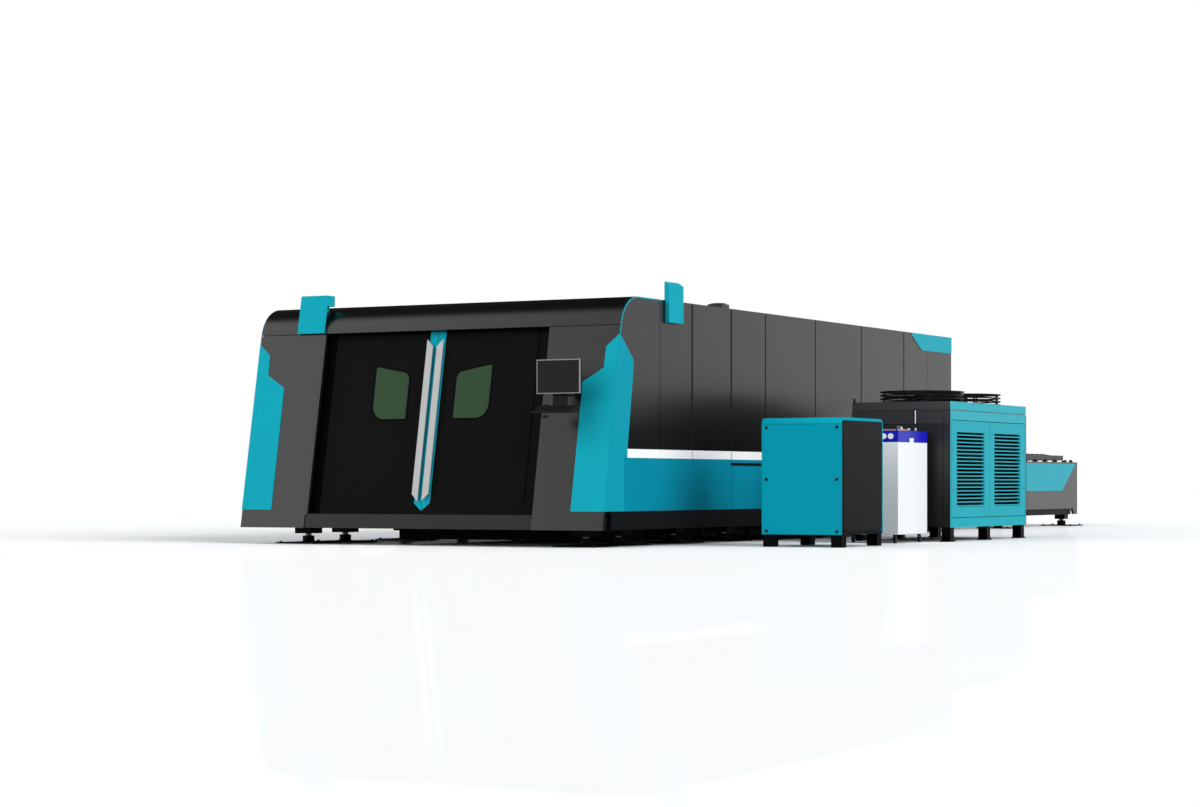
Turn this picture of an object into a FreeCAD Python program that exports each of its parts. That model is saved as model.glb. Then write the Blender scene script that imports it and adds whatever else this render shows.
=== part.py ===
# Large-format enclosed fiber laser cutting machine with its exchange table, electrical cabinet,
# laser source and chiller. Millimetres; X to the right, Y from the operator's front to the rear, Z up.
# Pieces are drawn from the right front foot of the enclosure (X 0, Y 0) and shifted to the origin,
# which is under the middle of the whole set, at the floor.
import math
import os

import FreeCAD
import Part
from FreeCAD import Vector

# ---------------------------------------------------------------- driving dimensions: enclosure
CAB_W = 4175.0               # enclosure width
CAB_L = 8880.0               # enclosure length
CAB_H = 2400.0               # roof height above the floor
GROUND_GAP = 165.0           # underside of the enclosure above the floor
FRONT_OUT = 45.0             # foot of the front, ahead of the zero line
ROOF_FRONT_Y = 660.0         # where the curved hood meets the flat roof
LEAN_DEG = 10.6              # backward lean of the front
WALL_T = 40.0                # formed side panels
HOOD_T = 30.0
HOOD_END_Y = 1160.0
BASE_TOP = 343.0             # top of the base frame
TEAL_TOP = 853.0             # top of the lower side panels
STRIP_TOP = 938.0            # top of the lamp strip
SIDE_SEAMS = (1120.0, 1820.0, 2710.0, 3530.0, 4810.0, 6080.0, 7350.0, 8110.0)
SEAM_W = 8.0
SEAM_D = 5.0
SLOT_START_Y = 2731.0        # long slot in the lower side panels
SLOT_BOTTOM = 787.0
SLOT_H = 28.0
SLOT_D = 14.0
TRIM_T = 5.0                 # trims stand this far off the sheet below them
ARCH_W = 14.0
REAR_TRIM_H = 196.0
REAR_TRIM_TOP_L = 1340.0
REAR_TRIM_BOTTOM_L = 980.0
HATCH_IN = 100.0             # flat hatch on the roof, from the left side
HATCH_W = 320.0
HATCH_Y = 1400.0
HATCH_L = 160.0
HATCH_H = 14.0
PORT_IN = 210.0              # square port on the roof, from the right side
PORT_Y = 2920.0
PORT_SIZE = 170.0
PORT_H = 70.0
BASE_CROSS = 5
BASE_CROSS_W = 180.0
PAN_SIDE = 970.0             # slag pan under the bed, from the sides of the enclosure
PAN_Y = 1400.0
PAN_REAR_IN = 60.0
PAN_BOTTOM = 32.0
PAN_DROP = 10.0              # rim of the pan below the frame
PAN_WALL = 8.0
PILLAR_W = 775.0
PILLAR_T = 40.0
GAP = 0.3                    # running gap between pieces that move past each other
OVER = 1.0                   # joined pieces run into each other, and cuts run past, by this

# front trims, measured in from the outer edge
APEX_Z = 2031.0
TRIM_STEP_1 = (133.0, 1910.0)
TRIM_STEP_2 = (138.0, 1706.0)
TRIM_STEP_3 = (353.0, 1577.0)
TRIM_FOOT_W = 358.0
SIDE_TRIM_1 = (562.0, 1799.0)
SIDE_TRIM_2 = (572.0, 1720.0)
SIDE_TRIM_FOOT_Y = 449.0
SIDE_TRIM_SEAM_Y = 381.0

# ---------------------------------------------------------------- driving dimensions: front doors
SILL_TOP = 306.0
SILL_SET_BACK = 8.0
SILL_LIP = 16.0              # the leaf hangs this far behind the lip of the sill
LEAF_SET_BACK = 95.0
LEAF_T = 40.0
LEAF_OVERLAP = 60.0          # leaf behind the pillar
LEAF_TOP_HIDDEN = 34.0       # leaf behind the hood
LEAF_GAP = 4.0               # between the two leaves
TONGUE_T = 12.0
TONGUE_H = 24.0
TRACK_H = 50.0
TRACK_WALL = 12.0
WIN_W = 400.0
WIN_INNER_X = 275.0          # from the meeting line
WIN_SHIFT = 22.0             # both windows stand this much to the left
WIN_BOTTOM = 1246.0
WIN_INNER_TOP = 1700.0
WIN_OUTER_TOP = 1772.0
WIN_LARGE_R = 140.0
WIN_SMALL_R = 80.0
PANE_T = 8.0
PANE_IN = 2.0                # pane behind the face of the leaf
GRIP_PLATE_W = 88.0
GRIP_PLATE_T = 10.0
GRIP_TIP_Z = 340.0
GRIP_TIP_RISE = 75.0
GRIP_TOP = 2108.0
BAR_W = 70.0
BAR_INNER_X = 24.0
BAR_T = 14.0
BAR_PROUD = 36.0             # clear of its plate
BAR_POST_W = 24.0
BAR_POST_H = 60.0
BAR_POST_IN = 180.0
BAR_BOTTOM = 435.0
BAR_TOP = 1960.0
BAR_CANT = 70.0              # the outer edge stands this much higher than the inner one

# ---------------------------------------------------------------- driving dimensions: inside
BEAM_W = 400.0
BEAM_SIDE_GAP = 160.0        # bed beam to the outside of the enclosure
BEAM_TOP = 1000.0
BEAM_WALL = 20.0
BEAM_FRONT_Y = 900.0
BEAM_REAR_IN = 280.0         # from the rear of the enclosure
RAIL_W = 60.0
RAIL_H = 45.0
GANTRY_REST_Y = 1500.0
GANTRY_D = 320.0
GANTRY_H = 360.0
GANTRY_FOOT_H = 100.0
GANTRY_FOOT_L = 620.0
GANTRY_FOOT_W = 200.0
GANTRY_WALL = 14.0
CROSS_RAIL_T = 30.0
CROSS_RAIL_W = 35.0
CROSS_RAIL_ZS = (50.0, 270.0)
CROSS_RAIL_IN = 100.0        # from the end of the gantry
CARRIAGE_W = 520.0
CARRIAGE_D = 170.0
CARRIAGE_H = 520.0
CARRIAGE_WALL = 30.0
CARRIAGE_LIFT = 20.0         # above the underside of the gantry's beam
HEAD_TIP_Z = 1085.0
HEAD_R = 48.0
HEAD_BLOCK_SIDE = 10.0       # slide block beyond the barrel, each side
HEAD_BLOCK_LOW = 60.0
HEAD_BLOCK_ABOVE = 120.0
HEAD_CONE_TOP = 130.0
HEAD_NECK_R = 30.0
HEAD_NECK_Z = 34.0
NOZZLE_R = 12.0
NOZZLE_TIP_R = 6.0
NOZZLE_CONE_H = 12.0
NOZZLE_H = 26.0
REAR_OPEN_BOTTOM = 620.0
REAR_OPEN_TOP = 1240.0
REAR_OPEN_MARGIN = 30.0      # beside a pallet
GATE_T = 30.0
GATE_LAP = 40.0
GATE_GUIDE_W = 30.0
GATE_RIBS = 4
GATE_RIB_MARGIN = 60.0
GATE_RIB_D = 8.0

# ---------------------------------------------------------------- driving dimensions: pallets
PALLET_L = 5950.0
PALLET_SIDE = 620.0          # pallet edge to the side of the enclosure
PALLET_BEAM_W = 60.0
PALLET_BEAM_H = 70.0
PALLET_CROSS = 4
PALLET_CROSS_H = 24.5
PALLET_Z = 935.0             # underside of the upper pallet
LEVEL_PITCH = 245.0          # upper pallet above the lower one
PALLET_TRAVEL = 6930.0
SLAT_T = 6.0
SLAT_RISE = 25.0             # slat tips above the pallet beams
SLAT_H = 78.0
SLAT_PITCH = 210.0
TOOTH_PITCH = 350.0
TOOTH_ROOT = 4.0             # between teeth, below the top of the pallet beams
SHELF_W = 120.0
SHELF_T = 25.0

# ---------------------------------------------------------------- driving dimensions: exchange table
TABLE_END_Y = 15160.0
TABLE_GAP = 50.0             # between the enclosure and the table's sides
TABLE_SIDE = 500.0           # table side to the side of the enclosure
TABLE_TOP = 910.0
TABLE_PANEL_BOTTOM = 243.0
TABLE_PANEL_T = 40.0
TABLE_POST_W = 125.0
TABLE_POST_BOTTOM = 162.0
TABLE_POST_SLOPE = 60.0
TABLE_FLANGE_T = 15.0
UNDER_BOTTOM = 160.0
UNDER_W = 110.0
UNDER_SET_IN = 20.0
UNDER_CROSS = 5
TEAL_BAND_BOTTOM = 500.0
TEAL_BAND_TOP = 885.0
TEAL_BAND_END_TOP = 90.0
TEAL_BAND_END_BOTTOM = 670.0
PALLET_END_GAP = 270.0
ROLLER_PITCH = 415.0
ROLLER_END_IN = 200.0        # last roller from the end of the table
ROLLER_START_IN = 100.0
ROLLER_FLANGE_R = 36.0
ROLLER_FLANGE_T = 18.0
ROLLER_TREAD_W = 40.0

# ---------------------------------------------------------------- driving dimensions: feet
PLATE_T = 12.0
PLATE_SIZE = 480.0
PAD_R = 60.0
PAD_H = 64.0
STUD_R = 20.0
BASE_BRACKET = 200.0
TABLE_BRACKET = 150.0
BRACKET_T = 65.0
FOOT_SIDE = 469.0
FOOT_FIRST_Y = 480.0
FOOT_SECOND_Y = 1140.0
FOOT_LAST_IN = 780.0         # from the rear of the enclosure
FOOT_COUNT = 8
TABLE_FOOT_FIRST_IN = 570.0
TABLE_FOOT_LAST_IN = 480.0
TABLE_FOOT_COUNT = 3

# ---------------------------------------------------------------- driving dimensions: operator console
CONSOLE_X = -430.0
SWIVEL_Y = 130.0
BOSS_Z = 1450.0
BOSS_H = 100.0
BOSS_W = 60.0
PIN_R = 14.0
FORK_T = 18.0
FORK_CLEAR = 2.0             # between the boss and the fork's web
FORK_LAP = 18.0              # fork plates beyond the swivel axis
POST_Y = -80.0
POST_T = 20.0
POST_W = 150.0
SCREEN_W = 468.0
SCREEN_H = 324.0
SCREEN_T = 40.0
SCREEN_BOTTOM = 1451.0
SCREEN_X = -648.0
SCREEN_BACK_Y = -110.0
BEZEL_W = 14.0
BEZEL_D = 4.0
TILT_R = 13.0
TRAY_X = -628.0
TRAY_W = 431.0
TRAY_D = 150.0
TRAY_REACH = 40.0            # from the hinge barrel to the rear of the tray
TRAY_BOTTOM = 1270.0
TRAY_FRONT_H = 14.0
TRAY_BACK_H = 72.0
TRAY_HINGE_Z = 1300.0
KEYS_W = 370.0
KEYS_D = 105.0
KEYS_IN = 18.0               # from the front of the tray
KEYS_SUNK = 6.0
BUTTON_R = 11.0
BUTTON_STEM_R = 8.0
BUTTON_PROUD = 9.0
BUTTON_TRAVEL = 4.0
BUTTON_CLEAR = 1.0           # cap above the pillar when pressed
BUTTON_EDGE = 26.0
BUTTON_PITCH = 33.0
BUTTON_ROWS = (1249.0, 1351.0)

# ---------------------------------------------------------------- driving dimensions: sign boxes
SIGN_W = 310.0
SIGN_T = 36.0
SIGN_TOP = 2508.0
SIGN_LEFT_IN = 468.0         # from the left side of the enclosure
SIGN_FOLD = 110.0
SIGN_WEB_IN = 70.0
SIDE_SIGN_Y = 1241.0
SIDE_SIGN_T = 40.0
SIDE_SIGN_IN = 12.0          # lid over the top of the wall
SIDE_SIGN_BOTTOM = 2180.0
SIDE_SIGN_TOP = 2547.0
SIDE_SIGN_RISE = 38.0
SIGN_LIFT = 4.0              # sign above the foot of the hood

# ---------------------------------------------------------------- driving dimensions: cabinet
BOX_X = 1016.0
BOX_W = 840.0
BOX_Y = 1290.0
BOX_D = 990.0
BOX_BOTTOM = 120.0
BOX_TOP = 1235.0
BOX_R = 60.0
BOX_WALL = 28.0
BOX_DOOR_T = 26.0
BOX_DOOR_R = 45.0
BOX_FOOT = 110.0
BOX_FOOT_IN = 10.0
BOX_DOOR_GAP = 4.0
BOX_PIN_IN = 40.0            # hinge axis from the shell's inner wall
BOX_PIN_L = 30.0
HINGE_PIN_R = 4.0
PIN_END_GAP = 10.0           # bore beyond the end of its pin
LOCK_R = 9.0
LOCK_D = 6.0
LOCK_DROP = 60.0             # below the top of the doorway

# ---------------------------------------------------------------- driving dimensions: laser source
SRC_RIGHT = 1650.0
SRC_W = 590.0
SRC_Y = 3170.0
SRC_D = 785.0
SRC_BOTTOM = 88.0
SRC_TOP = 1145.0
SRC_COVER_H = 118.0
SRC_WALL = 20.0
SRC_NOTCH_W = 50.0
SRC_NOTCH_H = 42.0
SRC_NOTCH_IN = 361.0         # from the front of the source
UNION_R = 11.0
UNION_HEIGHTS = (46.0, 34.0, 30.0, 30.0, 38.0)
UNION_SIDE_IN = 110.0
UNION_STAGGER = 30.0
UNION_FIRST_IN = 344.0
UNION_PITCH = 98.0
LAMP_R = 29.0
LAMP_T = 14.0
LAMP_PITCH = 76.0
LAMP_SIDE_IN = 78.0
CASTOR_IN = 65.0
CASTOR_R = 30.0
CASTOR_W = 22.0
CASTOR_TRAIL = 16.0
CHEEK_T = 4.0
AXLE_R = 5.0
KING_R = 7.0
CASTOR_HEAD_R = 18.0
CASTOR_CLEAR = 6.0           # crown plate above the wheel
CROWN_T = 5.0
CROWN_FRONT = 16.0
CHEEK_TOP = 12.0             # half widths of the cheek, above and at the axle
CHEEK_FOOT = 9.0

# ---------------------------------------------------------------- driving dimensions: chiller
CH_RIGHT = 1850.0
CH_W = 1105.0
CH_Y = 4100.0
CH_L = 2300.0
CH_BOTTOM = 147.0
CH_TOP = 1463.0
CH_WALL = 20.0
CH_POST = 30.0
CH_DOOR_T = 30.0
CH_DOOR_BOTTOM = 246.0
CH_DOOR_TOP = 1272.0
CH_CAP_Z = 1368.0            # seam round the cap
CH_DOOR_GAP = 6.0
CH_PIN_IN = 22.0             # hinge pin from the edge of its door
LOUVRE_BOTTOM = 362.0
LOUVRE_TOP = 1145.0
LOUVRE_MARGIN = 150.0
LOUVRE_COUNT = 20
LOUVRE_T = 13.0
LOUVRE_SLOPE = 0.3           # rise of a slat, as a part of the pitch
LOUVRE_START = 0.1
LOUVRE_IN = 2.0
CH_FOOT = 100.0
CH_FOOT_IN = 10.0
CH_FOOT_END = 30.0
CH_PIN_L = 25.0
CH_FLANGE = 190.0
CH_FLANGE_T = 12.0
FAN_SPACING = 1115.0
FAN_R = 400.0
FAN_WELL_R = 418.0
FAN_WELL_D = 15.0
FAN_HUB_R = 85.0
FAN_HUB_H = 50.0
MOTOR_R = 68.0
BLADE_IN = 8.0               # blades from the faces of the hub
BLADE_SUNK = 20.0
BLADE_ROOT_HALF = 45.0
BLADE_ROOT_T = 5.0
BLADE_TIP_HALF = 95.0
BLADE_TIP_T = 4.0
BLADE_TIP_RISE = 22.0
FAN_BLADES = 5
FAN_SHAFT_R = 14.0
FAN_STAND_H = 40.0
GUARD_R = 445.0
GUARD_H = 125.0
GUARD_RINGS = 4
GUARD_WIRE = 14.0
GUARD_STRUTS = 8
GUARD_SPOKE = 240.0
GUARD_IN = 3.0               # uprights inside the rings
CROWN_LAP = 5.0
GAUGE_X = 1464.0
GAUGE_W = 26.0
GAUGE_T = 9.0
GAUGE_BOTTOM = 1232.0
GAUGE_TOP = 1376.0

# ---------------------------------------------------------------- worked-out places
LEAN = math.radians(LEAN_DEG)


def front_y(z, depth=0.0):
    """Y of the leaning front at height z, depth behind its skin."""
    return (z - GROUND_GAP) * math.tan(LEAN) - FRONT_OUT + depth


MID_X = -CAB_W / 2
HOOD_REACH = (ROOF_FRONT_Y + FRONT_OUT) * math.cos(LEAN) - (CAB_H - GROUND_GAP) * math.sin(LEAN)
HOOD_R = HOOD_REACH / (1 - math.sin(LEAN))
HOOD_CENTRE_Z = CAB_H - HOOD_R
HOOD_BOTTOM = HOOD_CENTRE_Z + HOOD_R * math.sin(LEAN)
PILLAR_TOP = HOOD_BOTTOM - HOOD_T * math.sin(LEAN) - GAP
LEDGE_TOP = SILL_TOP - SILL_LIP
LEAF_BOTTOM = LEDGE_TOP + GAP
LEAF_TOP = HOOD_BOTTOM + LEAF_TOP_HIDDEN
LEAF_BACK = LEAF_SET_BACK + LEAF_T
PANE_NEAR = LEAF_SET_BACK + PANE_IN
TONGUE_Y = front_y(LEAF_TOP, LEAF_SET_BACK + LEAF_T / 2)
BASE_Y = front_y(LEDGE_TOP, LEAF_BACK + SILL_LIP) + GAP
BASE_PITCH = (CAB_L - BASE_Y - BASE_CROSS_W) / (BASE_CROSS - 1)

BEAM_REAR_Y = CAB_L - BEAM_REAR_IN
BEAM_RIGHT = -BEAM_SIDE_GAP
BEAM_LEFT = BEAM_RIGHT - BEAM_W
RAIL_X = (BEAM_RIGHT + BEAM_LEFT) / 2
GANTRY_FOOT_Z = BEAM_TOP + RAIL_H + GAP
GANTRY_Z = GANTRY_FOOT_Z + GANTRY_FOOT_H
GANTRY_Y = GANTRY_REST_Y - GANTRY_D / 2
CARRIAGE_Y1 = GANTRY_Y - CROSS_RAIL_T - GAP
CARRIAGE_Z = GANTRY_Z + CARRIAGE_LIFT
HEAD_BLOCK = 2 * (HEAD_R + HEAD_BLOCK_SIDE)
LOWER_Z = PALLET_Z - LEVEL_PITCH
REAR_RIGHT = -PALLET_SIDE + REAR_OPEN_MARGIN
GATE_BOTTOM = REAR_OPEN_TOP + 2 * GAP
GATE_H = REAR_OPEN_TOP - REAR_OPEN_BOTTOM

TABLE_Y = CAB_L + TABLE_GAP
TABLE_RIGHT = -TABLE_SIDE
SHELF_IN = -PALLET_SIDE - PALLET_BEAM_W
PALLET_OUT_Y = TABLE_END_Y - PALLET_END_GAP - PALLET_L
UNDER_RIGHT = TABLE_RIGHT - UNDER_SET_IN
UNDER_END_Y = TABLE_END_Y - TABLE_POST_W - UNDER_W
UNDER_PITCH = (UNDER_END_Y - TABLE_Y - UNDER_W) / (UNDER_CROSS - 1)
FOOT_PITCH = (CAB_L - FOOT_LAST_IN - FOOT_SECOND_Y) / (FOOT_COUNT - 2)
TABLE_FOOT_RUN = TABLE_END_Y - TABLE_FOOT_LAST_IN - TABLE_Y - TABLE_FOOT_FIRST_IN
TABLE_FOOT_PITCH = TABLE_FOOT_RUN / (TABLE_FOOT_COUNT - 1)

TILT_Z = SCREEN_BOTTOM + SCREEN_H / 2
TRAY_REAR_Y = POST_Y - TILT_R - TRAY_REACH
BOX_PIN_X = BOX_X + BOX_W - BOX_DOOR_T / 2
BOX_PIN_Y = BOX_Y + BOX_D - BOX_WALL - BOX_PIN_IN
SRC_LEFT = SRC_RIGHT - SRC_W
NOTCH_Y = SRC_Y + SRC_NOTCH_IN
CH_X = CH_RIGHT - CH_W
CH_END_Y = CH_Y + CH_L
CH_DOOR_X = CH_RIGHT - CH_DOOR_T
DOOR_SPLIT_Y = CH_Y + CH_L / 2
DOOR_PIN_X = CH_RIGHT - CH_DOOR_T / 2
DOOR_PIN_IN = CH_POST + CH_DOOR_GAP + CH_PIN_IN
DOOR_PIN_YS = (CH_Y + DOOR_PIN_IN, CH_END_Y - DOOR_PIN_IN)
FAN_X = (CH_RIGHT + CH_X) / 2
FAN_YS = (DOOR_SPLIT_Y - FAN_SPACING / 2, DOOR_SPLIT_Y + FAN_SPACING / 2)
FAN_Z = CH_TOP + FAN_STAND_H

X_MIN = -CAB_W + min(-TRIM_T, FOOT_SIDE - PLATE_SIZE / 2)
X_MAX = BOX_X + BOX_W
Y_MIN = TRAY_REAR_Y - TRAY_D
SHIFT = Vector(-(X_MIN + X_MAX) / 2, -(Y_MIN + TABLE_END_Y) / 2, 0)


# ---------------------------------------------------------------- helpers
def mirror_x(x):
    return 2 * MID_X - x


def box(x0, y0, z0, x1, y1, z1):
    return Part.makeBox(x1 - x0, y1 - y0, z1 - z0, Vector(x0, y0, z0))


def prism_face(points):
    return Part.Face(Part.makePolygon(points + [points[0]]))


def prism(points, sweep):
    """A closed outline of points, swept along a vector."""
    return prism_face(points).extrude(sweep)


def side_prism(outline, x0, x1):
    """An outline of (y, z) points, swept from x0 to x1."""
    return prism([Vector(x0, y, z) for y, z in outline], Vector(x1 - x0, 0, 0))


def front_prism(outline, near, deep):
    """An outline of (x, z) points on the leaning front, from near to deep behind its skin."""
    return prism([Vector(x, front_y(z, near), z) for x, z in outline], Vector(0, deep - near, 0))


def rod(radius, start, end):
    start = Vector(*start)
    along = Vector(*end) - start
    return Part.makeCylinder(radius, along.Length, start, along)


def join(*shapes):
    whole = shapes[0]
    for shape in shapes[1:]:
        whole = whole.fuse(shape)
    return whole.removeSplitter()


def fuse_all(shapes):
    return shapes[0].multiFuse(shapes[1:]).removeSplitter()


def mirror(shape):
    """The same piece on the other side of the enclosure's middle plane."""
    return shape.mirror(Vector(MID_X, 0, 0), Vector(1, 0, 0))


def both_sides(shape):
    return [shape, mirror(shape)]


def round_edges(shape, radius, keep):
    """Fillets the edges whose middle point passes the test."""
    edges = [e for e in shape.Edges if keep(e)]
    return shape.makeFillet(radius, edges)


def mid(edge):
    return edge.valueAt((edge.FirstParameter + edge.LastParameter) / 2)


def along(edge, axis):
    """Does the straight edge run along this axis?"""
    way = edge.Vertexes[-1].Point - edge.Vertexes[0].Point
    return way.Length > 0 and abs(way.dot(axis)) > 0.999 * way.Length


def save(name, *solids):
    """One file for a piece, or for a group of like pieces that don't touch."""
    solids = [s for shape in solids for s in shape.Solids]
    shape = solids[0] if len(solids) == 1 else Part.makeCompound(solids)
    shape = shape.copy()
    shape.translate(SHIFT)
    shape.exportStep(f"parts/{name}.step")


os.makedirs("parts", exist_ok=True)
AXIS_X = Vector(1, 0, 0)
AXIS_Y = Vector(0, 1, 0)
AXIS_Z = Vector(0, 0, 1)


# ================================================================ enclosure
def hood_arc(radius):
    """Ends and middle of the hood's arc at this radius, from the leaning front to the roof."""
    centre = Vector(0, ROOF_FRONT_Y, HOOD_CENTRE_Z)
    angles = (LEAN, (LEAN + math.pi / 2) / 2, math.pi / 2)
    return [centre + Vector(0, -math.cos(a), math.sin(a)) * radius for a in angles]


def curved_hood():
    low, half, high = hood_arc(HOOD_R)
    low_in, half_in, high_in = hood_arc(HOOD_R - HOOD_T)
    end_top = Vector(0, HOOD_END_Y, CAB_H)
    end_in = Vector(0, HOOD_END_Y, CAB_H - HOOD_T)
    edges = [
        Part.Arc(low, half, high).toShape(),
        Part.LineSegment(high, end_top).toShape(),
        Part.LineSegment(end_top, end_in).toShape(),
        Part.LineSegment(end_in, high_in).toShape(),
        Part.Arc(high_in, half_in, low_in).toShape(),
        Part.LineSegment(low_in, low).toShape(),
    ]
    sheet = Part.Face(Part.Wire(edges)).extrude(Vector(CAB_W - 2 * WALL_T, 0, 0))
    sheet.translate(Vector(-CAB_W + WALL_T, 0, 0))
    return sheet


def upper_side_panel():
    """The right-hand wall: it follows the lean and the hood, and has vertical seams."""
    low, half, high = hood_arc(HOOD_R)
    foot = Vector(0, front_y(STRIP_TOP, PILLAR_T), STRIP_TOP)
    step = Vector(0, front_y(HOOD_BOTTOM, PILLAR_T), HOOD_BOTTOM)
    rear_top = Vector(0, CAB_L, CAB_H)
    rear_foot = Vector(0, CAB_L, STRIP_TOP)
    edges = [
        Part.LineSegment(foot, step).toShape(),
        Part.LineSegment(step, low).toShape(),
        Part.Arc(low, half, high).toShape(),
        Part.LineSegment(high, rear_top).toShape(),
        Part.LineSegment(rear_top, rear_foot).toShape(),
        Part.LineSegment(rear_foot, foot).toShape(),
    ]
    wall = Part.Face(Part.Wire(edges)).extrude(Vector(-WALL_T, 0, 0))
    seams = [box(-SEAM_D, y - SEAM_W / 2, STRIP_TOP - OVER, OVER, y + SEAM_W / 2, CAB_H + OVER)
             for y in SIDE_SEAMS]
    return wall.cut(seams)


def lower_side_panel():
    outline = [
        (front_y(BASE_TOP, PILLAR_T), BASE_TOP),
        (front_y(TEAL_TOP, PILLAR_T), TEAL_TOP),
        (CAB_L, TEAL_TOP),
        (CAB_L, BASE_TOP),
    ]
    panel = side_prism(outline, -WALL_T, 0)
    slot = box(-SLOT_D, SLOT_START_Y, SLOT_BOTTOM, OVER, CAB_L + OVER, SLOT_BOTTOM + SLOT_H)
    seam = box(-SEAM_D, SLOT_START_Y - SEAM_W, BASE_TOP - OVER, OVER, SLOT_START_Y, TEAL_TOP + OVER)
    return panel.cut([slot, seam])


def lamp_strip():
    outline = [
        (SIDE_TRIM_FOOT_Y, TEAL_TOP),
        (SIDE_TRIM_FOOT_Y, STRIP_TOP),
        (CAB_L, STRIP_TOP),
        (CAB_L, TEAL_TOP),
    ]
    strip = side_prism(outline, -WALL_T, -SEAM_D / 2)
    seams = [box(-SEAM_D, y - SEAM_W / 2, TEAL_TOP - OVER, OVER, y + SEAM_W / 2, STRIP_TOP + OVER)
             for y in SIDE_SEAMS if y > SIDE_TRIM_FOOT_Y]
    return strip.cut(seams)


def corner_trim():
    """Right-hand trim: a front sheet, a side sheet and a thin arch along the hood."""
    front_outline = [
        (TRIM_T, APEX_Z),
        (-TRIM_STEP_1[0], TRIM_STEP_1[1]),
        (-TRIM_STEP_2[0], TRIM_STEP_2[1]),
        (-TRIM_STEP_3[0], TRIM_STEP_3[1]),
        (-TRIM_FOOT_W, BASE_TOP),
        (TRIM_T, BASE_TOP),
    ]
    side_outline = [
        (front_y(APEX_Z, -TRIM_T), APEX_Z),
        SIDE_TRIM_1,
        SIDE_TRIM_2,
        (SIDE_TRIM_FOOT_Y, STRIP_TOP),
        (SIDE_TRIM_FOOT_Y, TEAL_TOP),
        (SIDE_TRIM_SEAM_Y, TEAL_TOP),
        (SIDE_TRIM_SEAM_Y, BASE_TOP),
        (front_y(BASE_TOP, -TRIM_T), BASE_TOP),
    ]
    front_sheet = front_prism(front_outline, -TRIM_T, 0)
    side_sheet = side_prism(side_outline, 0, TRIM_T)
    low, half, high = hood_arc(HOOD_R)
    low_in, half_in, high_in = hood_arc(HOOD_R - ARCH_W)
    drop = Vector(0, -math.sin(LEAN), -math.cos(LEAN)) * (HOOD_BOTTOM - APEX_Z)
    run = Vector(0, HOOD_END_Y - ROOF_FRONT_Y, 0)
    edges = [
        Part.LineSegment(low + drop, low).toShape(),
        Part.Arc(low, half, high).toShape(),
        Part.LineSegment(high, high + run).toShape(),
        Part.LineSegment(high + run, high_in + run).toShape(),
        Part.LineSegment(high_in + run, high_in).toShape(),
        Part.Arc(high_in, half_in, low_in).toShape(),
        Part.LineSegment(low_in, low_in + drop).toShape(),
        Part.LineSegment(low_in + drop, low + drop).toShape(),
    ]
    arch = Part.Face(Part.Wire(edges)).extrude(Vector(TRIM_T, 0, 0))
    return join(front_sheet, side_sheet, arch)


def rear_trim():
    outline = [
        (CAB_L - REAR_TRIM_TOP_L, CAB_H),
        (CAB_L, CAB_H),
        (CAB_L, CAB_H - REAR_TRIM_H),
        (CAB_L - REAR_TRIM_BOTTOM_L, CAB_H - REAR_TRIM_H),
    ]
    return side_prism(outline, 0, TRIM_T)


def front_pillar():
    """Right-hand pillar: a leaning box section, with the console's swivel boss on its face."""
    outline = [(-PILLAR_W, GROUND_GAP), (0, GROUND_GAP), (0, PILLAR_TOP), (-PILLAR_W, PILLAR_TOP)]
    return front_prism(outline, 0, PILLAR_T)


def console_boss():
    """Bored boss for the console's swivel, round in front and carried back into the pillar."""
    top = BOSS_Z + BOSS_H
    outline = [
        (SWIVEL_Y, BOSS_Z),
        (front_y(BOSS_Z, PILLAR_T / 2), BOSS_Z),
        (front_y(top, PILLAR_T / 2), top),
        (SWIVEL_Y, top),
    ]
    block = side_prism(outline, CONSOLE_X - BOSS_W / 2, CONSOLE_X + BOSS_W / 2)
    nose = rod(BOSS_W / 2, (CONSOLE_X, SWIVEL_Y, BOSS_Z), (CONSOLE_X, SWIVEL_Y, top))
    bore = rod(PIN_R + GAP, (CONSOLE_X, SWIVEL_Y, BOSS_Z - OVER), (CONSOLE_X, SWIVEL_Y, top + OVER))
    return join(block, nose).cut(bore)


def button_places():
    first = -PILLAR_W + BUTTON_EDGE
    return [(first + column * BUTTON_PITCH, z) for z in BUTTON_ROWS for column in range(2)]


def inward(distance):
    """A step into the leaning front, square to its skin."""
    return Vector(0, math.cos(LEAN), -math.sin(LEAN)) * distance


def front_sill():
    """The lip that hides the foot of the doors, and the ledge that they run on."""
    lip = front_prism(
        [(mirror_x(-PILLAR_W), GROUND_GAP), (-PILLAR_W, GROUND_GAP),
         (-PILLAR_W, SILL_TOP), (mirror_x(-PILLAR_W), SILL_TOP)],
        SILL_SET_BACK, PILLAR_T)
    left, right = -CAB_W + WALL_T + GAP, -WALL_T - GAP
    ledge = front_prism(
        [(left, GROUND_GAP), (right, GROUND_GAP), (right, LEDGE_TOP), (left, LEDGE_TOP)],
        PILLAR_T, LEAF_BACK + SILL_LIP)
    return join(lip, ledge)


def door_track():
    """A channel, open below, that takes the tongues of both leaves."""
    left, right = -CAB_W + WALL_T + GAP, -WALL_T - GAP
    half = TONGUE_T / 2 + GAP + TRACK_WALL
    channel = box(left, TONGUE_Y - half, LEAF_TOP + GAP, right, TONGUE_Y + half, LEAF_TOP + GAP + TRACK_H)
    groove = box(left - OVER, TONGUE_Y - TONGUE_T / 2 - GAP, LEAF_TOP, right + OVER,
                 TONGUE_Y + TONGUE_T / 2 + GAP, LEAF_TOP + TONGUE_H + 2 * GAP)
    return channel.cut(groove)


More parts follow.
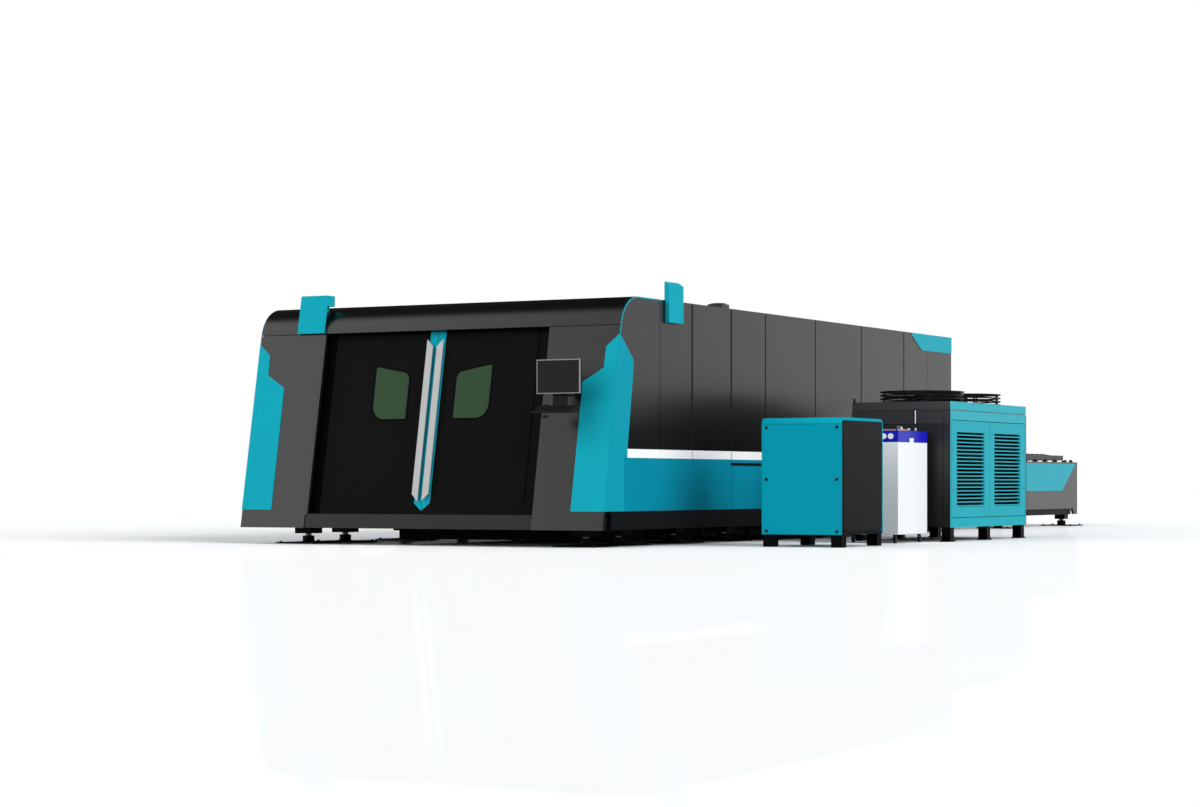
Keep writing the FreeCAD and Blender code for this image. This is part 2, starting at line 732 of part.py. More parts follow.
def rounded_outline(corners):
    """A flat wire through (point, radius) corners, each rounded by a tangent arc where it has a radius."""
    edges = []
    count = len(corners)
    starts, ends, arcs = [], [], []
    for i, (point, radius) in enumerate(corners):
        back = (corners[i - 1][0] - point).normalize()
        ahead = (corners[(i + 1) % count][0] - point).normalize()
        if radius <= 0:
            starts.append(point)
            ends.append(point)
            arcs.append(None)
            continue
        half_angle = back.getAngle(ahead) / 2
        reach = radius / math.tan(half_angle)
        first, last = point + back * reach, point + ahead * reach
        towards = (back + ahead).normalize()
        crown = point + towards * (radius / math.sin(half_angle) - radius)
        starts.append(first)
        ends.append(last)
        arcs.append(Part.Arc(first, crown, last).toShape())
    for i in range(count):
        if arcs[i]:
            edges.append(arcs[i])
        edges.append(Part.LineSegment(ends[i], starts[(i + 1) % count]).toShape())
    return Part.Wire(edges)


def window_body(near, deep, grow, shift):
    """The left-hand window's outline swept through the leaf, with its two round corners."""
    inner = MID_X - WIN_INNER_X - shift + grow
    outer = MID_X - WIN_INNER_X - shift - WIN_W - grow
    low, high = WIN_BOTTOM - grow, WIN_OUTER_TOP + grow
    corners = [
        (Vector(outer, 0, low), WIN_LARGE_R + grow),
        (Vector(inner, 0, low), 0),
        (Vector(inner, 0, WIN_INNER_TOP + grow), WIN_SMALL_R + grow),
        (Vector(outer, 0, high), 0),
    ]
    column = Part.Face(rounded_outline(corners)).extrude(Vector(0, front_y(high, deep) + OVER, 0))
    slab = [(outer - OVER, low - OVER), (inner + OVER, low - OVER),
            (inner + OVER, high + OVER), (outer - OVER, high + OVER)]
    return column.common(front_prism(slab, near, deep))


def door_leaf(shift):
    """Left-hand leaf, with its window moved outwards by the shift."""
    outer = -CAB_W + PILLAR_W - LEAF_OVERLAP
    inner = MID_X - LEAF_GAP / 2
    sheet = front_prism([(outer, LEAF_BOTTOM), (inner, LEAF_BOTTOM), (inner, LEAF_TOP), (outer, LEAF_TOP)],
                        LEAF_SET_BACK, LEAF_BACK)
    sheet = sheet.cut(window_body(LEAF_SET_BACK - OVER, LEAF_BACK + OVER, 0, shift))
    tongue = box(outer, TONGUE_Y - TONGUE_T / 2, LEAF_TOP - OVER,
                 inner, TONGUE_Y + TONGUE_T / 2, LEAF_TOP + TONGUE_H)
    return join(sheet, tongue)


def grip_plate():
    """Left-hand half of the chevron behind the bars."""
    inner = MID_X - LEAF_GAP / 2
    outline = [
        (inner, GRIP_TIP_Z),
        (inner, GRIP_TOP),
        (inner - GRIP_PLATE_W, GRIP_TOP),
        (inner - GRIP_PLATE_W, GRIP_TIP_Z + GRIP_TIP_RISE),
    ]
    return front_prism(outline, LEAF_SET_BACK - GRIP_PLATE_T, LEAF_SET_BACK)


def grip_bar():
    inner = MID_X - BAR_INNER_X
    outer = inner - BAR_W
    outline = [
        (outer, BAR_BOTTOM + BAR_CANT),
        (inner, BAR_BOTTOM),
        (inner, BAR_TOP),
        (outer, BAR_TOP + BAR_CANT),
    ]
    far = LEAF_SET_BACK - GRIP_PLATE_T - BAR_PROUD
    bar = front_prism(outline, far - BAR_T, far)
    middle = (outer + inner) / 2
    for z in (BAR_BOTTOM + BAR_POST_IN, (BAR_BOTTOM + BAR_TOP) / 2, BAR_TOP - BAR_POST_IN):
        post = front_prism([
            (middle - BAR_POST_W / 2, z - BAR_POST_H / 2),
            (middle + BAR_POST_W / 2, z - BAR_POST_H / 2),
            (middle + BAR_POST_W / 2, z + BAR_POST_H / 2),
            (middle - BAR_POST_W / 2, z + BAR_POST_H / 2),
        ], far - OVER, far + BAR_PROUD)
        bar = join(bar, post)
    return bar


def front_sign():
    """A leaning plate on the hood with a lid over the roof, and a web between them and the hood."""
    left = -CAB_W + SIGN_LEFT_IN
    back_low = HOOD_BOTTOM + SIGN_LIFT
    back = front_y(SIGN_TOP, SIGN_FOLD)
    outline = [
        (front_y(back_low, -SIGN_T), back_low),
        (front_y(SIGN_TOP, -SIGN_T), SIGN_TOP),
        (back, SIGN_TOP),
        (back, CAB_H),
        (front_y(CAB_H), CAB_H),
        (front_y(back_low), back_low),
    ]
    web = [
        (front_y(back_low, -OVER), back_low),
        (front_y(CAB_H, -OVER), CAB_H + OVER),
        (back, CAB_H + OVER),
        (back, HOOD_CENTRE_Z),
    ]
    blank = join(side_prism(outline, left, left + SIGN_W),
                 side_prism(web, left + SIGN_WEB_IN, left + SIGN_W - SIGN_WEB_IN))
    hood = rod(HOOD_R + GAP, (left - OVER, ROOF_FRONT_Y, HOOD_CENTRE_Z),
               (left + SIGN_W + OVER, ROOF_FRONT_Y, HOOD_CENTRE_Z))
    return blank.cut(hood)


def side_sign():
    """A flat box on the right-hand wall that hooks over its top and rises towards the roof."""
    outline = [
        (GAP, SIDE_SIGN_BOTTOM),
        (SIDE_SIGN_T, SIDE_SIGN_BOTTOM),
        (SIDE_SIGN_T, SIDE_SIGN_TOP),
        (-SIDE_SIGN_IN, SIDE_SIGN_TOP + SIDE_SIGN_RISE),
        (-SIDE_SIGN_IN, CAB_H + GAP),
        (GAP, CAB_H + GAP),
    ]
    return prism([Vector(x, SIDE_SIGN_Y, z) for x, z in outline], Vector(0, SIGN_W, 0))


def roof_panel():
    """Flat roof with a hatch and a square port."""
    plate = box(-CAB_W + WALL_T, HOOD_END_Y, CAB_H - HOOD_T, -WALL_T, CAB_L, CAB_H)
    hatch_x = -CAB_W + HATCH_IN
    hatch = box(hatch_x, HATCH_Y, CAB_H - OVER, hatch_x + HATCH_W, HATCH_Y + HATCH_L, CAB_H + HATCH_H)
    port = box(-PORT_IN - PORT_SIZE, PORT_Y, CAB_H - OVER, -PORT_IN, PORT_Y + PORT_SIZE, CAB_H + PORT_H)
    return join(plate, hatch, port)


def rear_wall():
    """The rear wall with the pallets' opening, and the guides of the lifting gate."""
    wall = box(-CAB_W + WALL_T, CAB_L - WALL_T, BASE_TOP, -WALL_T, CAB_L, CAB_H - HOOD_T)
    left, right = mirror_x(REAR_RIGHT), REAR_RIGHT
    inside = CAB_L - WALL_T
    wall = wall.cut(box(left, inside - OVER, REAR_OPEN_BOTTOM, right, CAB_L + OVER, REAR_OPEN_TOP))
    guides = []
    for edge, way in ((right, 1), (left, -1)):
        near = edge + way * (GATE_LAP + GAP)
        far = near + way * GATE_GUIDE_W
        guides.append(box(min(near, far), inside - GATE_T - 2 * GAP, REAR_OPEN_BOTTOM,
                          max(near, far), inside, GATE_BOTTOM + GATE_H + GATE_LAP))
    return fuse_all([wall] + guides)


def rear_gate():
    """The lifting gate, raised: a flat shutter with pressed ribs."""
    y1 = CAB_L - WALL_T - GAP
    left, right = mirror_x(REAR_RIGHT) - GATE_LAP, REAR_RIGHT + GATE_LAP
    leaf = box(left, y1 - GATE_T, GATE_BOTTOM, right, y1, GATE_BOTTOM + GATE_H)
    rib_h = GATE_H / (2 * GATE_RIBS + 1)
    grooves = []
    for i in range(GATE_RIBS):
        z = GATE_BOTTOM + (2 * i + 1) * rib_h
        grooves.append(box(left + GATE_RIB_MARGIN, y1 - GATE_T - OVER, z,
                           right - GATE_RIB_MARGIN, y1 - GATE_T + GATE_RIB_D, z + rib_h))
    return leaf.cut(grooves)


def slag_pan():
    """Low open pan under the bed, hung from the cross members."""
    left, right = mirror_x(-PAN_SIDE), -PAN_SIDE
    end, rim = CAB_L - PAN_REAR_IN, GROUND_GAP - PAN_DROP
    shell = box(left, PAN_Y, PAN_BOTTOM, right, end, rim)
    room = box(left + PAN_WALL, PAN_Y + PAN_WALL, PAN_BOTTOM + PAN_WALL,
               right - PAN_WALL, end - PAN_WALL, rim + OVER)
    return shell.cut(room)


def base_frame():
    """A welded ladder: two long sills, which show as the black skirt, and cross members."""
    sill_w = FOOT_SIDE + BASE_BRACKET / 2
    pieces = [
        box(-sill_w, BASE_Y, GROUND_GAP, 0, CAB_L, BASE_TOP),
        box(-CAB_W, BASE_Y, GROUND_GAP, -CAB_W + sill_w, CAB_L, BASE_TOP),
    ]
    for i in range(BASE_CROSS):
        y = BASE_Y + i * BASE_PITCH
        pieces.append(box(-CAB_W + sill_w - OVER, y, GROUND_GAP, -sill_w + OVER, y + BASE_CROSS_W, BASE_TOP))
        if y > PAN_Y:
            pieces += both_sides(box(-PAN_SIDE - PAN_WALL, y, GROUND_GAP - PAN_DROP - OVER,
                                     -PAN_SIDE, y + BASE_CROSS_W, GROUND_GAP + OVER))
    return fuse_all(pieces + [slag_pan()])


def bed_beam():
    """Right-hand beam of the bed: a hollow section, its linear rail and the pallets' two shelves."""
    beam = box(BEAM_LEFT, BEAM_FRONT_Y, BASE_TOP, BEAM_RIGHT, BEAM_REAR_Y, BEAM_TOP)
    hollow = box(BEAM_LEFT + BEAM_WALL, BEAM_FRONT_Y - OVER, BASE_TOP + BEAM_WALL,
                 BEAM_RIGHT - BEAM_WALL, BEAM_REAR_Y + OVER, BEAM_TOP - BEAM_WALL)
    rail = box(RAIL_X - RAIL_W / 2, BEAM_FRONT_Y, BEAM_TOP - OVER,
               RAIL_X + RAIL_W / 2, BEAM_REAR_Y, BEAM_TOP + RAIL_H)
    shelf_start = GANTRY_REST_Y + GANTRY_D
    shelves = [box(BEAM_LEFT - SHELF_W, shelf_start, z - SHELF_T, BEAM_LEFT + OVER, BEAM_REAR_Y, z - GAP)
               for z in (LOWER_Z, PALLET_Z)]
    return fuse_all([beam.cut(hollow), rail] + shelves)


# ================================================================ cutting axes
def gantry():
    """A hollow beam with two cross rails, on two feet that ride the linear rails."""
    y1 = GANTRY_Y + GANTRY_D
    left, right = mirror_x(RAIL_X) - GANTRY_FOOT_W / 2, RAIL_X + GANTRY_FOOT_W / 2
    beam = box(left, GANTRY_Y, GANTRY_Z, right, y1, GANTRY_Z + GANTRY_H)
    hollow = box(left - OVER, GANTRY_Y + GANTRY_WALL, GANTRY_Z + GANTRY_WALL,
                 right + OVER, y1 - GANTRY_WALL, GANTRY_Z + GANTRY_H - GANTRY_WALL)
    rails = [box(left + CROSS_RAIL_IN, GANTRY_Y - CROSS_RAIL_T, GANTRY_Z + z,
                 right - CROSS_RAIL_IN, GANTRY_Y + OVER, GANTRY_Z + z + CROSS_RAIL_W) for z in CROSS_RAIL_ZS]
    feet = [box(x - GANTRY_FOOT_W / 2, GANTRY_REST_Y - GANTRY_FOOT_L / 2, GANTRY_FOOT_Z,
                x + GANTRY_FOOT_W / 2, GANTRY_REST_Y + GANTRY_FOOT_L / 2, GANTRY_Z + OVER)
            for x in (RAIL_X, mirror_x(RAIL_X))]
    return fuse_all([beam.cut(hollow)] + rails + feet)


def cross_carriage():
    """The carriage on the gantry's front face, hollow for the head's slide."""
    y0 = CARRIAGE_Y1 - CARRIAGE_D
    body = box(MID_X - CARRIAGE_W / 2, y0, CARRIAGE_Z,
               MID_X + CARRIAGE_W / 2, CARRIAGE_Y1, CARRIAGE_Z + CARRIAGE_H)
    shaft = box(MID_X - HEAD_BLOCK / 2 - GAP, y0 + CARRIAGE_WALL, CARRIAGE_Z - OVER,
                MID_X + HEAD_BLOCK / 2 + GAP, CARRIAGE_Y1 - CARRIAGE_WALL, CARRIAGE_Z + CARRIAGE_H + OVER)
    return body.cut(shaft)


def cutting_head():
    """Slide block, with the barrel, cone and nozzle turned as one column below it."""
    y = CARRIAGE_Y1 - CARRIAGE_D / 2
    half_d = CARRIAGE_D / 2 - CARRIAGE_WALL - GAP
    block_z = CARRIAGE_Z + HEAD_BLOCK_LOW
    block = box(MID_X - HEAD_BLOCK / 2, y - half_d, block_z,
                MID_X + HEAD_BLOCK / 2, y + half_d, CARRIAGE_Z + CARRIAGE_H + HEAD_BLOCK_ABOVE)
    profile = [
        (0, HEAD_TIP_Z),
        (NOZZLE_TIP_R, HEAD_TIP_Z),
        (NOZZLE_R, HEAD_TIP_Z + NOZZLE_CONE_H),
        (NOZZLE_R, HEAD_TIP_Z + NOZZLE_H),
        (HEAD_NECK_R, HEAD_TIP_Z + HEAD_NECK_Z),
        (HEAD_R, HEAD_TIP_Z + HEAD_CONE_TOP),
        (HEAD_R, block_z + OVER),
        (0, block_z + OVER),
    ]
    face = prism_face([Vector(MID_X + r, y, z) for r, z in profile])
    return join(block, face.revolve(Vector(MID_X, y, 0), AXIS_Z, 360))


# ================================================================ pallets and exchange table
def pallet(y0, z0):
    """A welded pallet: two side beams, cross members, and toothed slats."""
    right, left = -PALLET_SIDE, mirror_x(-PALLET_SIDE)
    y1, z1 = y0 + PALLET_L, z0 + PALLET_BEAM_H
    pieces = [
        box(right - PALLET_BEAM_W, y0, z0, right, y1, z1),
        box(left, y0, z0, left + PALLET_BEAM_W, y1, z1),
    ]
    inner_left, inner_right = left + PALLET_BEAM_W - OVER, right - PALLET_BEAM_W + OVER
    for i in range(PALLET_CROSS):
        y = y0 + i * (PALLET_L - PALLET_BEAM_W) / (PALLET_CROSS - 1)
        pieces.append(box(inner_left, y, z0, inner_right, y + PALLET_BEAM_W, z0 + PALLET_CROSS_H))
    root, tip = z1 - TOOTH_ROOT, z1 + SLAT_RISE
    count = int((PALLET_L - 2 * PALLET_BEAM_W) // SLAT_PITCH)
    first = y0 + (PALLET_L - (count - 1) * SLAT_PITCH) / 2
    teeth = int((inner_right - inner_left) // TOOTH_PITCH)
    step = (inner_right - inner_left) / teeth
    outline = [(inner_left, tip - SLAT_H)]
    for k in range(teeth):
        outline += [(inner_left + k * step, root), (inner_left + (k + 0.5) * step, tip)]
    outline += [(inner_right, root), (inner_right, tip - SLAT_H)]
    for i in range(count):
        y = first + i * SLAT_PITCH
        pieces.append(prism([Vector(x, y, z) for x, z in outline], Vector(0, SLAT_T, 0)))
    return fuse_all(pieces)


def table_panel():
    """Right-hand side of the exchange table: a formed panel with its post, flange and shelf."""
    slope_end = TABLE_END_Y - TABLE_POST_W
    outline = [
        (TABLE_Y, TABLE_PANEL_BOTTOM),
        (slope_end - TABLE_POST_SLOPE, TABLE_PANEL_BOTTOM),
        (slope_end, TABLE_POST_BOTTOM),
        (TABLE_END_Y, TABLE_POST_BOTTOM),
        (TABLE_END_Y, TABLE_TOP),
        (TABLE_Y, TABLE_TOP),
    ]
    inside = TABLE_RIGHT - TABLE_PANEL_T
    panel = side_prism(outline, inside, TABLE_RIGHT)
    flange = box(SHELF_IN, TABLE_Y, TABLE_TOP - TABLE_FLANGE_T, inside + OVER, TABLE_END_Y, TABLE_TOP)
    shelf = box(SHELF_IN, TABLE_Y, LOWER_Z - SHELF_T, inside + OVER, TABLE_END_Y, LOWER_Z - GAP)
    return fuse_all([panel, flange, shelf])


def table_band():
    """The raised coloured band on the side of the table."""
    outline = [
        (TABLE_Y, TEAL_BAND_BOTTOM),
        (TABLE_Y, TEAL_BAND_TOP),
        (TABLE_END_Y - TEAL_BAND_END_TOP, TEAL_BAND_TOP),
        (TABLE_END_Y - TEAL_BAND_END_BOTTOM, TEAL_BAND_BOTTOM),
    ]
    return side_prism(outline, TABLE_RIGHT, TABLE_RIGHT + TRIM_T)


def exchange_frame():
    """The table's underframe, butted to the enclosure's: two long members and cross members."""
    right = UNDER_RIGHT
    left = mirror_x(right)
    top = TABLE_PANEL_BOTTOM
    pieces = [
        box(right - UNDER_W, CAB_L + GAP, UNDER_BOTTOM, right, UNDER_END_Y, top),
        box(left, CAB_L + GAP, UNDER_BOTTOM, left + UNDER_W, UNDER_END_Y, top),
    ]
    for i in range(UNDER_CROSS):
        y = TABLE_Y + i * UNDER_PITCH
        pieces.append(box(left + UNDER_W - OVER, y, UNDER_BOTTOM, right - UNDER_W + OVER, y + UNDER_W, top))
    return fuse_all(pieces)


def end_beam():
    """The cross plate that ties the two table sides at the far end."""
    inner = TABLE_RIGHT - TABLE_PANEL_T - GAP
    lower = LOWER_Z - SHELF_T - GAP
    return box(mirror_x(inner), TABLE_END_Y - TABLE_PANEL_T, TABLE_PANEL_BOTTOM, inner, TABLE_END_Y, lower)


def roller(y):
    """Flanged roller, seen as the half that stands out of the table's top flange."""
    tread_r = PALLET_Z - GAP - TABLE_TOP
    face = -PALLET_SIDE + GAP
    start, end = face - ROLLER_TREAD_W, face + ROLLER_FLANGE_T
    tread = rod(tread_r, (start, y, TABLE_TOP), (face + OVER, y, TABLE_TOP))
    flange = rod(ROLLER_FLANGE_R, (face, y, TABLE_TOP), (end, y, TABLE_TOP))
    reach = ROLLER_FLANGE_R + OVER
    below = box(start - OVER, y - reach, TABLE_TOP - reach, end + OVER, y + reach, TABLE_TOP)
    return join(tread, flange).cut(below)


def rollers():
    last = TABLE_END_Y - ROLLER_END_IN
    count = int((last - TABLE_Y - ROLLER_START_IN) // ROLLER_PITCH) + 1
    made = []
    for i in range(count):
        made += both_sides(roller(last - i * ROLLER_PITCH))
    return made


# ================================================================ feet
def foot_places():
    """X, Y, the height of the frame above and the bracket of each foot on the right-hand side."""
    rows = [FOOT_FIRST_Y] + [FOOT_SECOND_Y + i * FOOT_PITCH for i in range(FOOT_COUNT - 1)]
    places = [(-FOOT_SIDE, y, GROUND_GAP, BASE_BRACKET) for y in rows]
    first = TABLE_Y + TABLE_FOOT_FIRST_IN
    places += [(UNDER_RIGHT - UNDER_W / 2, first + i * TABLE_FOOT_PITCH, UNDER_BOTTOM, TABLE_BRACKET)
               for i in range(TABLE_FOOT_COUNT)]
    return places


def levelling_foot(x, y, top, bracket_size):
    """Pad, screw and bracket under the frame."""
    pad = rod(PAD_R, (x, y, PLATE_T), (x, y, PLATE_T + PAD_H))
    stud = rod(STUD_R, (x, y, PLATE_T + PAD_H - OVER), (x, y, top - BRACKET_T + OVER))
    half = bracket_size / 2
    bracket = box(x - half, y - half, top - BRACKET_T, x + half, y + half, top)
    return join(pad, stud, bracket)


def floor_plate(x, y):
    half = PLATE_SIZE / 2
    return box(x - half, y - half, 0, x + half, y + half, PLATE_T)


# ================================================================ operator console
def console_arm():
    """Fork round the swivel boss, its pin, the reach and the post with two hinge barrels."""
    half = BOSS_W / 2
    low, high = BOSS_Z - GAP, BOSS_Z + BOSS_H + GAP
    web_y = SWIVEL_Y - half - FORK_CLEAR
    pieces = [
        box(CONSOLE_X - half, web_y - OVER, low - FORK_T, CONSOLE_X + half, SWIVEL_Y + FORK_LAP, low),
        box(CONSOLE_X - half, web_y - OVER, high, CONSOLE_X + half, SWIVEL_Y + FORK_LAP, high + FORK_T),
        rod(PIN_R, (CONSOLE_X, SWIVEL_Y, low - FORK_T), (CONSOLE_X, SWIVEL_Y, high + FORK_T)),
        box(CONSOLE_X - half, POST_Y, low - FORK_T, CONSOLE_X + half, web_y, high + FORK_T),
        box(CONSOLE_X - POST_W / 2, POST_Y - POST_T / 2, TRAY_HINGE_Z, CONSOLE_X + POST_W / 2,
            POST_Y + POST_T / 2, TILT_Z),
    ]
    for z in (TRAY_HINGE_Z, TILT_Z):
        barrel = POST_W / 2
        reach = barrel + GAP + FORK_T
        pieces.append(rod(TILT_R, (CONSOLE_X - barrel, POST_Y, z), (CONSOLE_X + barrel, POST_Y, z)))
        pieces.append(rod(TILT_R / 2, (CONSOLE_X - reach, POST_Y, z), (CONSOLE_X + reach, POST_Y, z)))
    return fuse_all(pieces)


def hinge_lugs(y_from, z):
    """Two lugs that reach back to a barrel on the post, bored for its pin."""
    lugs = []
    for side in (-1, 1):
        near = CONSOLE_X + side * (POST_W / 2 + GAP)
        x0, x1 = sorted((near, near + side * FORK_T))
        lug = box(x0, y_from, z - TILT_R, x1, POST_Y + TILT_R, z + TILT_R)
        bore = rod(TILT_R / 2 + GAP, (x0 - OVER, POST_Y, z), (x1 + OVER, POST_Y, z))
        lugs.append(lug.cut(bore))
    return lugs


def monitor():
    """Flat housing with a raised bezel and two lugs at its back."""
    x1, z1 = SCREEN_X + SCREEN_W, SCREEN_BOTTOM + SCREEN_H
    front = SCREEN_BACK_Y - SCREEN_T
    body = box(SCREEN_X, front, SCREEN_BOTTOM, x1, SCREEN_BACK_Y, z1)
    glass = box(SCREEN_X + BEZEL_W, front - OVER, SCREEN_BOTTOM + BEZEL_W,
                x1 - BEZEL_W, front + BEZEL_D, z1 - BEZEL_W)
    return fuse_all([body.cut(glass)] + hinge_lugs(SCREEN_BACK_Y - OVER, TILT_Z))


def keyboard_tray():
    """Wedge-shaped shelf that slopes to the operator, with a sunk field of keys, hinged at its back."""
    slope = (TRAY_BACK_H - TRAY_FRONT_H) / TRAY_D
    front_top = TRAY_BOTTOM + TRAY_FRONT_H
    outline = [
        (Y_MIN, TRAY_BOTTOM),
        (TRAY_REAR_Y, TRAY_BOTTOM),
        (TRAY_REAR_Y, TRAY_BOTTOM + TRAY_BACK_H),
        (Y_MIN, front_top),
    ]
    shelf = side_prism(outline, TRAY_X, TRAY_X + TRAY_W)
    low, high = front_top + slope * KEYS_IN, front_top + slope * (KEYS_IN + KEYS_D)
    y0, y1 = Y_MIN + KEYS_IN, Y_MIN + KEYS_IN + KEYS_D
    field = [(y0, low - KEYS_SUNK), (y1, high - KEYS_SUNK), (y1, high + OVER), (y0, low + OVER)]
    middle = TRAY_X + TRAY_W / 2
    keys = side_prism(field, middle - KEYS_W / 2, middle + KEYS_W / 2)
    return fuse_all([shelf.cut(keys)] + hinge_lugs(TRAY_REAR_Y - OVER, TRAY_HINGE_Z))


def push_button(x, z):
    """Cap and stem, square to the leaning pillar."""
    seat = Vector(x, front_y(z), z)
    front = seat - inward(BUTTON_PROUD)
    cap = Part.makeCylinder(BUTTON_R, BUTTON_PROUD - BUTTON_TRAVEL - BUTTON_CLEAR, front, inward(1))
    stem = Part.makeCylinder(BUTTON_STEM_R, PILLAR_T, front + inward(OVER), inward(1))
    return join(cap, stem)


def button_bore(x, z):
    seat = Vector(x, front_y(z), z)
    return Part.makeCylinder(BUTTON_STEM_R + GAP, 2 * PILLAR_T, seat - inward(PILLAR_T / 2), inward(1))


# ================================================================ electrical cabinet
def cabinet_shell():
    """Wrapped sheet shell, open on the right for its door, on four square feet."""
    x1, y1 = BOX_X + BOX_W, BOX_Y + BOX_D
    w = BOX_WALL
    blank = box(BOX_X, BOX_Y, BOX_BOTTOM, x1, y1, BOX_TOP)
    blank = round_edges(blank, BOX_R, lambda e: along(e, AXIS_X) and mid(e).z > BOX_TOP - OVER)
    room = box(BOX_X + w, BOX_Y + w, BOX_BOTTOM + w, x1 + OVER, y1 - w, BOX_TOP - w)
    room = round_edges(room, BOX_R - w, lambda e: along(e, AXIS_X) and mid(e).z > BOX_TOP - w - OVER)
    pieces = [blank.cut(room)]
    for x in (BOX_X + BOX_FOOT_IN, x1 - BOX_FOOT - BOX_FOOT_IN):
        for y in (BOX_Y + BOX_FOOT_IN, y1 - BOX_FOOT - BOX_FOOT_IN):
            pieces.append(box(x, y, 0, x + BOX_FOOT, y + BOX_FOOT, BOX_BOTTOM + OVER))
    for z in (BOX_BOTTOM + w - OVER, BOX_TOP - w - BOX_PIN_L):
        end = (BOX_PIN_X, BOX_PIN_Y, z + BOX_PIN_L + OVER)
        pieces.append(rod(HINGE_PIN_R, (BOX_PIN_X, BOX_PIN_Y, z), end))
    return fuse_all(pieces)


def cabinet_door():
    """Flush door with round corners, bored for the two pins, with a round lock recess."""
    inset = BOX_WALL + BOX_DOOR_GAP
    x1 = BOX_X + BOX_W
    door = box(x1 - BOX_DOOR_T, BOX_Y + inset, BOX_BOTTOM + inset, x1, BOX_Y + BOX_D - inset, BOX_TOP - inset)
    door = round_edges(door, BOX_DOOR_R, lambda e: along(e, AXIS_X))
    depth = BOX_PIN_L + PIN_END_GAP
    bores = [rod(HINGE_PIN_R + GAP, (BOX_PIN_X, BOX_PIN_Y, z), (BOX_PIN_X, BOX_PIN_Y, z + depth))
             for z in (BOX_BOTTOM + BOX_WALL, BOX_TOP - BOX_WALL - depth)]
    y, z = BOX_Y + BOX_D / 2, BOX_TOP - BOX_WALL - LOCK_DROP
    lock = rod(LOCK_R, (x1 - LOCK_D, y, z), (x1 + OVER, y, z))
    return door.cut(bores + [lock])


# ================================================================ laser source
def castor_places():
    right, left = SRC_RIGHT - CASTOR_IN, SRC_LEFT + CASTOR_IN
    front, rear = SRC_Y + CASTOR_IN, SRC_Y + SRC_D - CASTOR_IN
    return {"front_right": (right, front), "front_left": (left, front),
            "rear_right": (right, rear), "rear_left": (left, rear)}


def source_body():
    """Open-topped housing with a bore over each castor and a tab on its right-hand wall."""
    w = SRC_WALL
    top = SRC_TOP - SRC_COVER_H
    body = box(SRC_LEFT, SRC_Y, SRC_BOTTOM, SRC_RIGHT, SRC_Y + SRC_D, top)
    room = box(SRC_LEFT + w, SRC_Y + w, SRC_BOTTOM + w, SRC_RIGHT - w, SRC_Y + SRC_D - w, top + OVER)
    tab = box(SRC_RIGHT - w, NOTCH_Y, top - OVER, SRC_RIGHT, NOTCH_Y + SRC_NOTCH_W, top + SRC_NOTCH_H)
    bores = [rod(KING_R + GAP, (x, y, SRC_BOTTOM - OVER), (x, y, SRC_BOTTOM + w + OVER))
             for x, y in castor_places().values()]
    return join(body.cut(room), tab).cut(bores)


def source_cover():
    """Lid with a band all round, a notch over the housing's tab, and a row of round unions."""
    w = SRC_WALL
    z0 = SRC_TOP - SRC_COVER_H + GAP
    lid = box(SRC_LEFT, SRC_Y, z0, SRC_RIGHT, SRC_Y + SRC_D, SRC_TOP)
    room = box(SRC_LEFT + w, SRC_Y + w, z0 - OVER, SRC_RIGHT - w, SRC_Y + SRC_D - w, SRC_TOP - w)
    notch = box(SRC_RIGHT - w - OVER, NOTCH_Y - GAP, z0 - OVER,
                SRC_RIGHT + OVER, NOTCH_Y + SRC_NOTCH_W + GAP, z0 + SRC_NOTCH_H)
    pieces = [lid.cut([room, notch])]
    for i, height in enumerate(UNION_HEIGHTS):
        x = SRC_RIGHT - UNION_SIDE_IN - UNION_STAGGER * (i % 2)
        y = SRC_Y + UNION_FIRST_IN + i * UNION_PITCH
        pieces.append(rod(UNION_R, (x, y, SRC_TOP - OVER), (x, y, SRC_TOP + height)))
    return fuse_all(pieces)


def source_lamps():
    """Two round lenses on the front of the band."""
    z = SRC_TOP - SRC_COVER_H / 2
    first = SRC_RIGHT - LAMP_SIDE_IN
    return [rod(LAMP_R, (first - i * LAMP_PITCH, SRC_Y, z), (first - i * LAMP_PITCH, SRC_Y - LAMP_T, z))
            for i in range(2)]


def castor_fork(x, y):
    """King pin, crown, two cheeks and the axle, trailing to the rear."""
    top = SRC_BOTTOM - GAP
    y_axle = y + CASTOR_TRAIL
    inner = CASTOR_W / 2 + GAP
    outer = inner + CHEEK_T
    crown_z = 2 * CASTOR_R + CASTOR_CLEAR
    pieces = [
        rod(KING_R, (x, y, top - OVER), (x, y, SRC_BOTTOM + SRC_WALL)),
        rod(CASTOR_HEAD_R, (x, y, crown_z), (x, y, top)),
        box(x - outer, y - CROWN_FRONT, crown_z, x + outer, y_axle + CHEEK_TOP, crown_z + CROWN_T),
        rod(AXLE_R, (x - outer, y_axle, CASTOR_R), (x + outer, y_axle, CASTOR_R)),
    ]
    cheek = [
        (y - CHEEK_TOP, crown_z + OVER),
        (y_axle - CHEEK_FOOT, CASTOR_R - CHEEK_FOOT),
        (y_axle + CHEEK_FOOT, CASTOR_R - CHEEK_FOOT),
        (y_axle + CHEEK_TOP, crown_z + OVER),
    ]
    for side in (-1, 1):
        x0, x1 = sorted((x + side * inner, x + side * outer))
        pieces.append(side_prism(cheek, x0, x1))
    return fuse_all(pieces)


def castor_wheel(x, y):
    y_axle = y + CASTOR_TRAIL
    half = CASTOR_W / 2
    tyre = rod(CASTOR_R, (x - half, y_axle, CASTOR_R), (x + half, y_axle, CASTOR_R))
    reach = half + OVER
    return tyre.cut(rod(AXLE_R + GAP, (x - reach, y_axle, CASTOR_R), (x + reach, y_axle, CASTOR_R)))


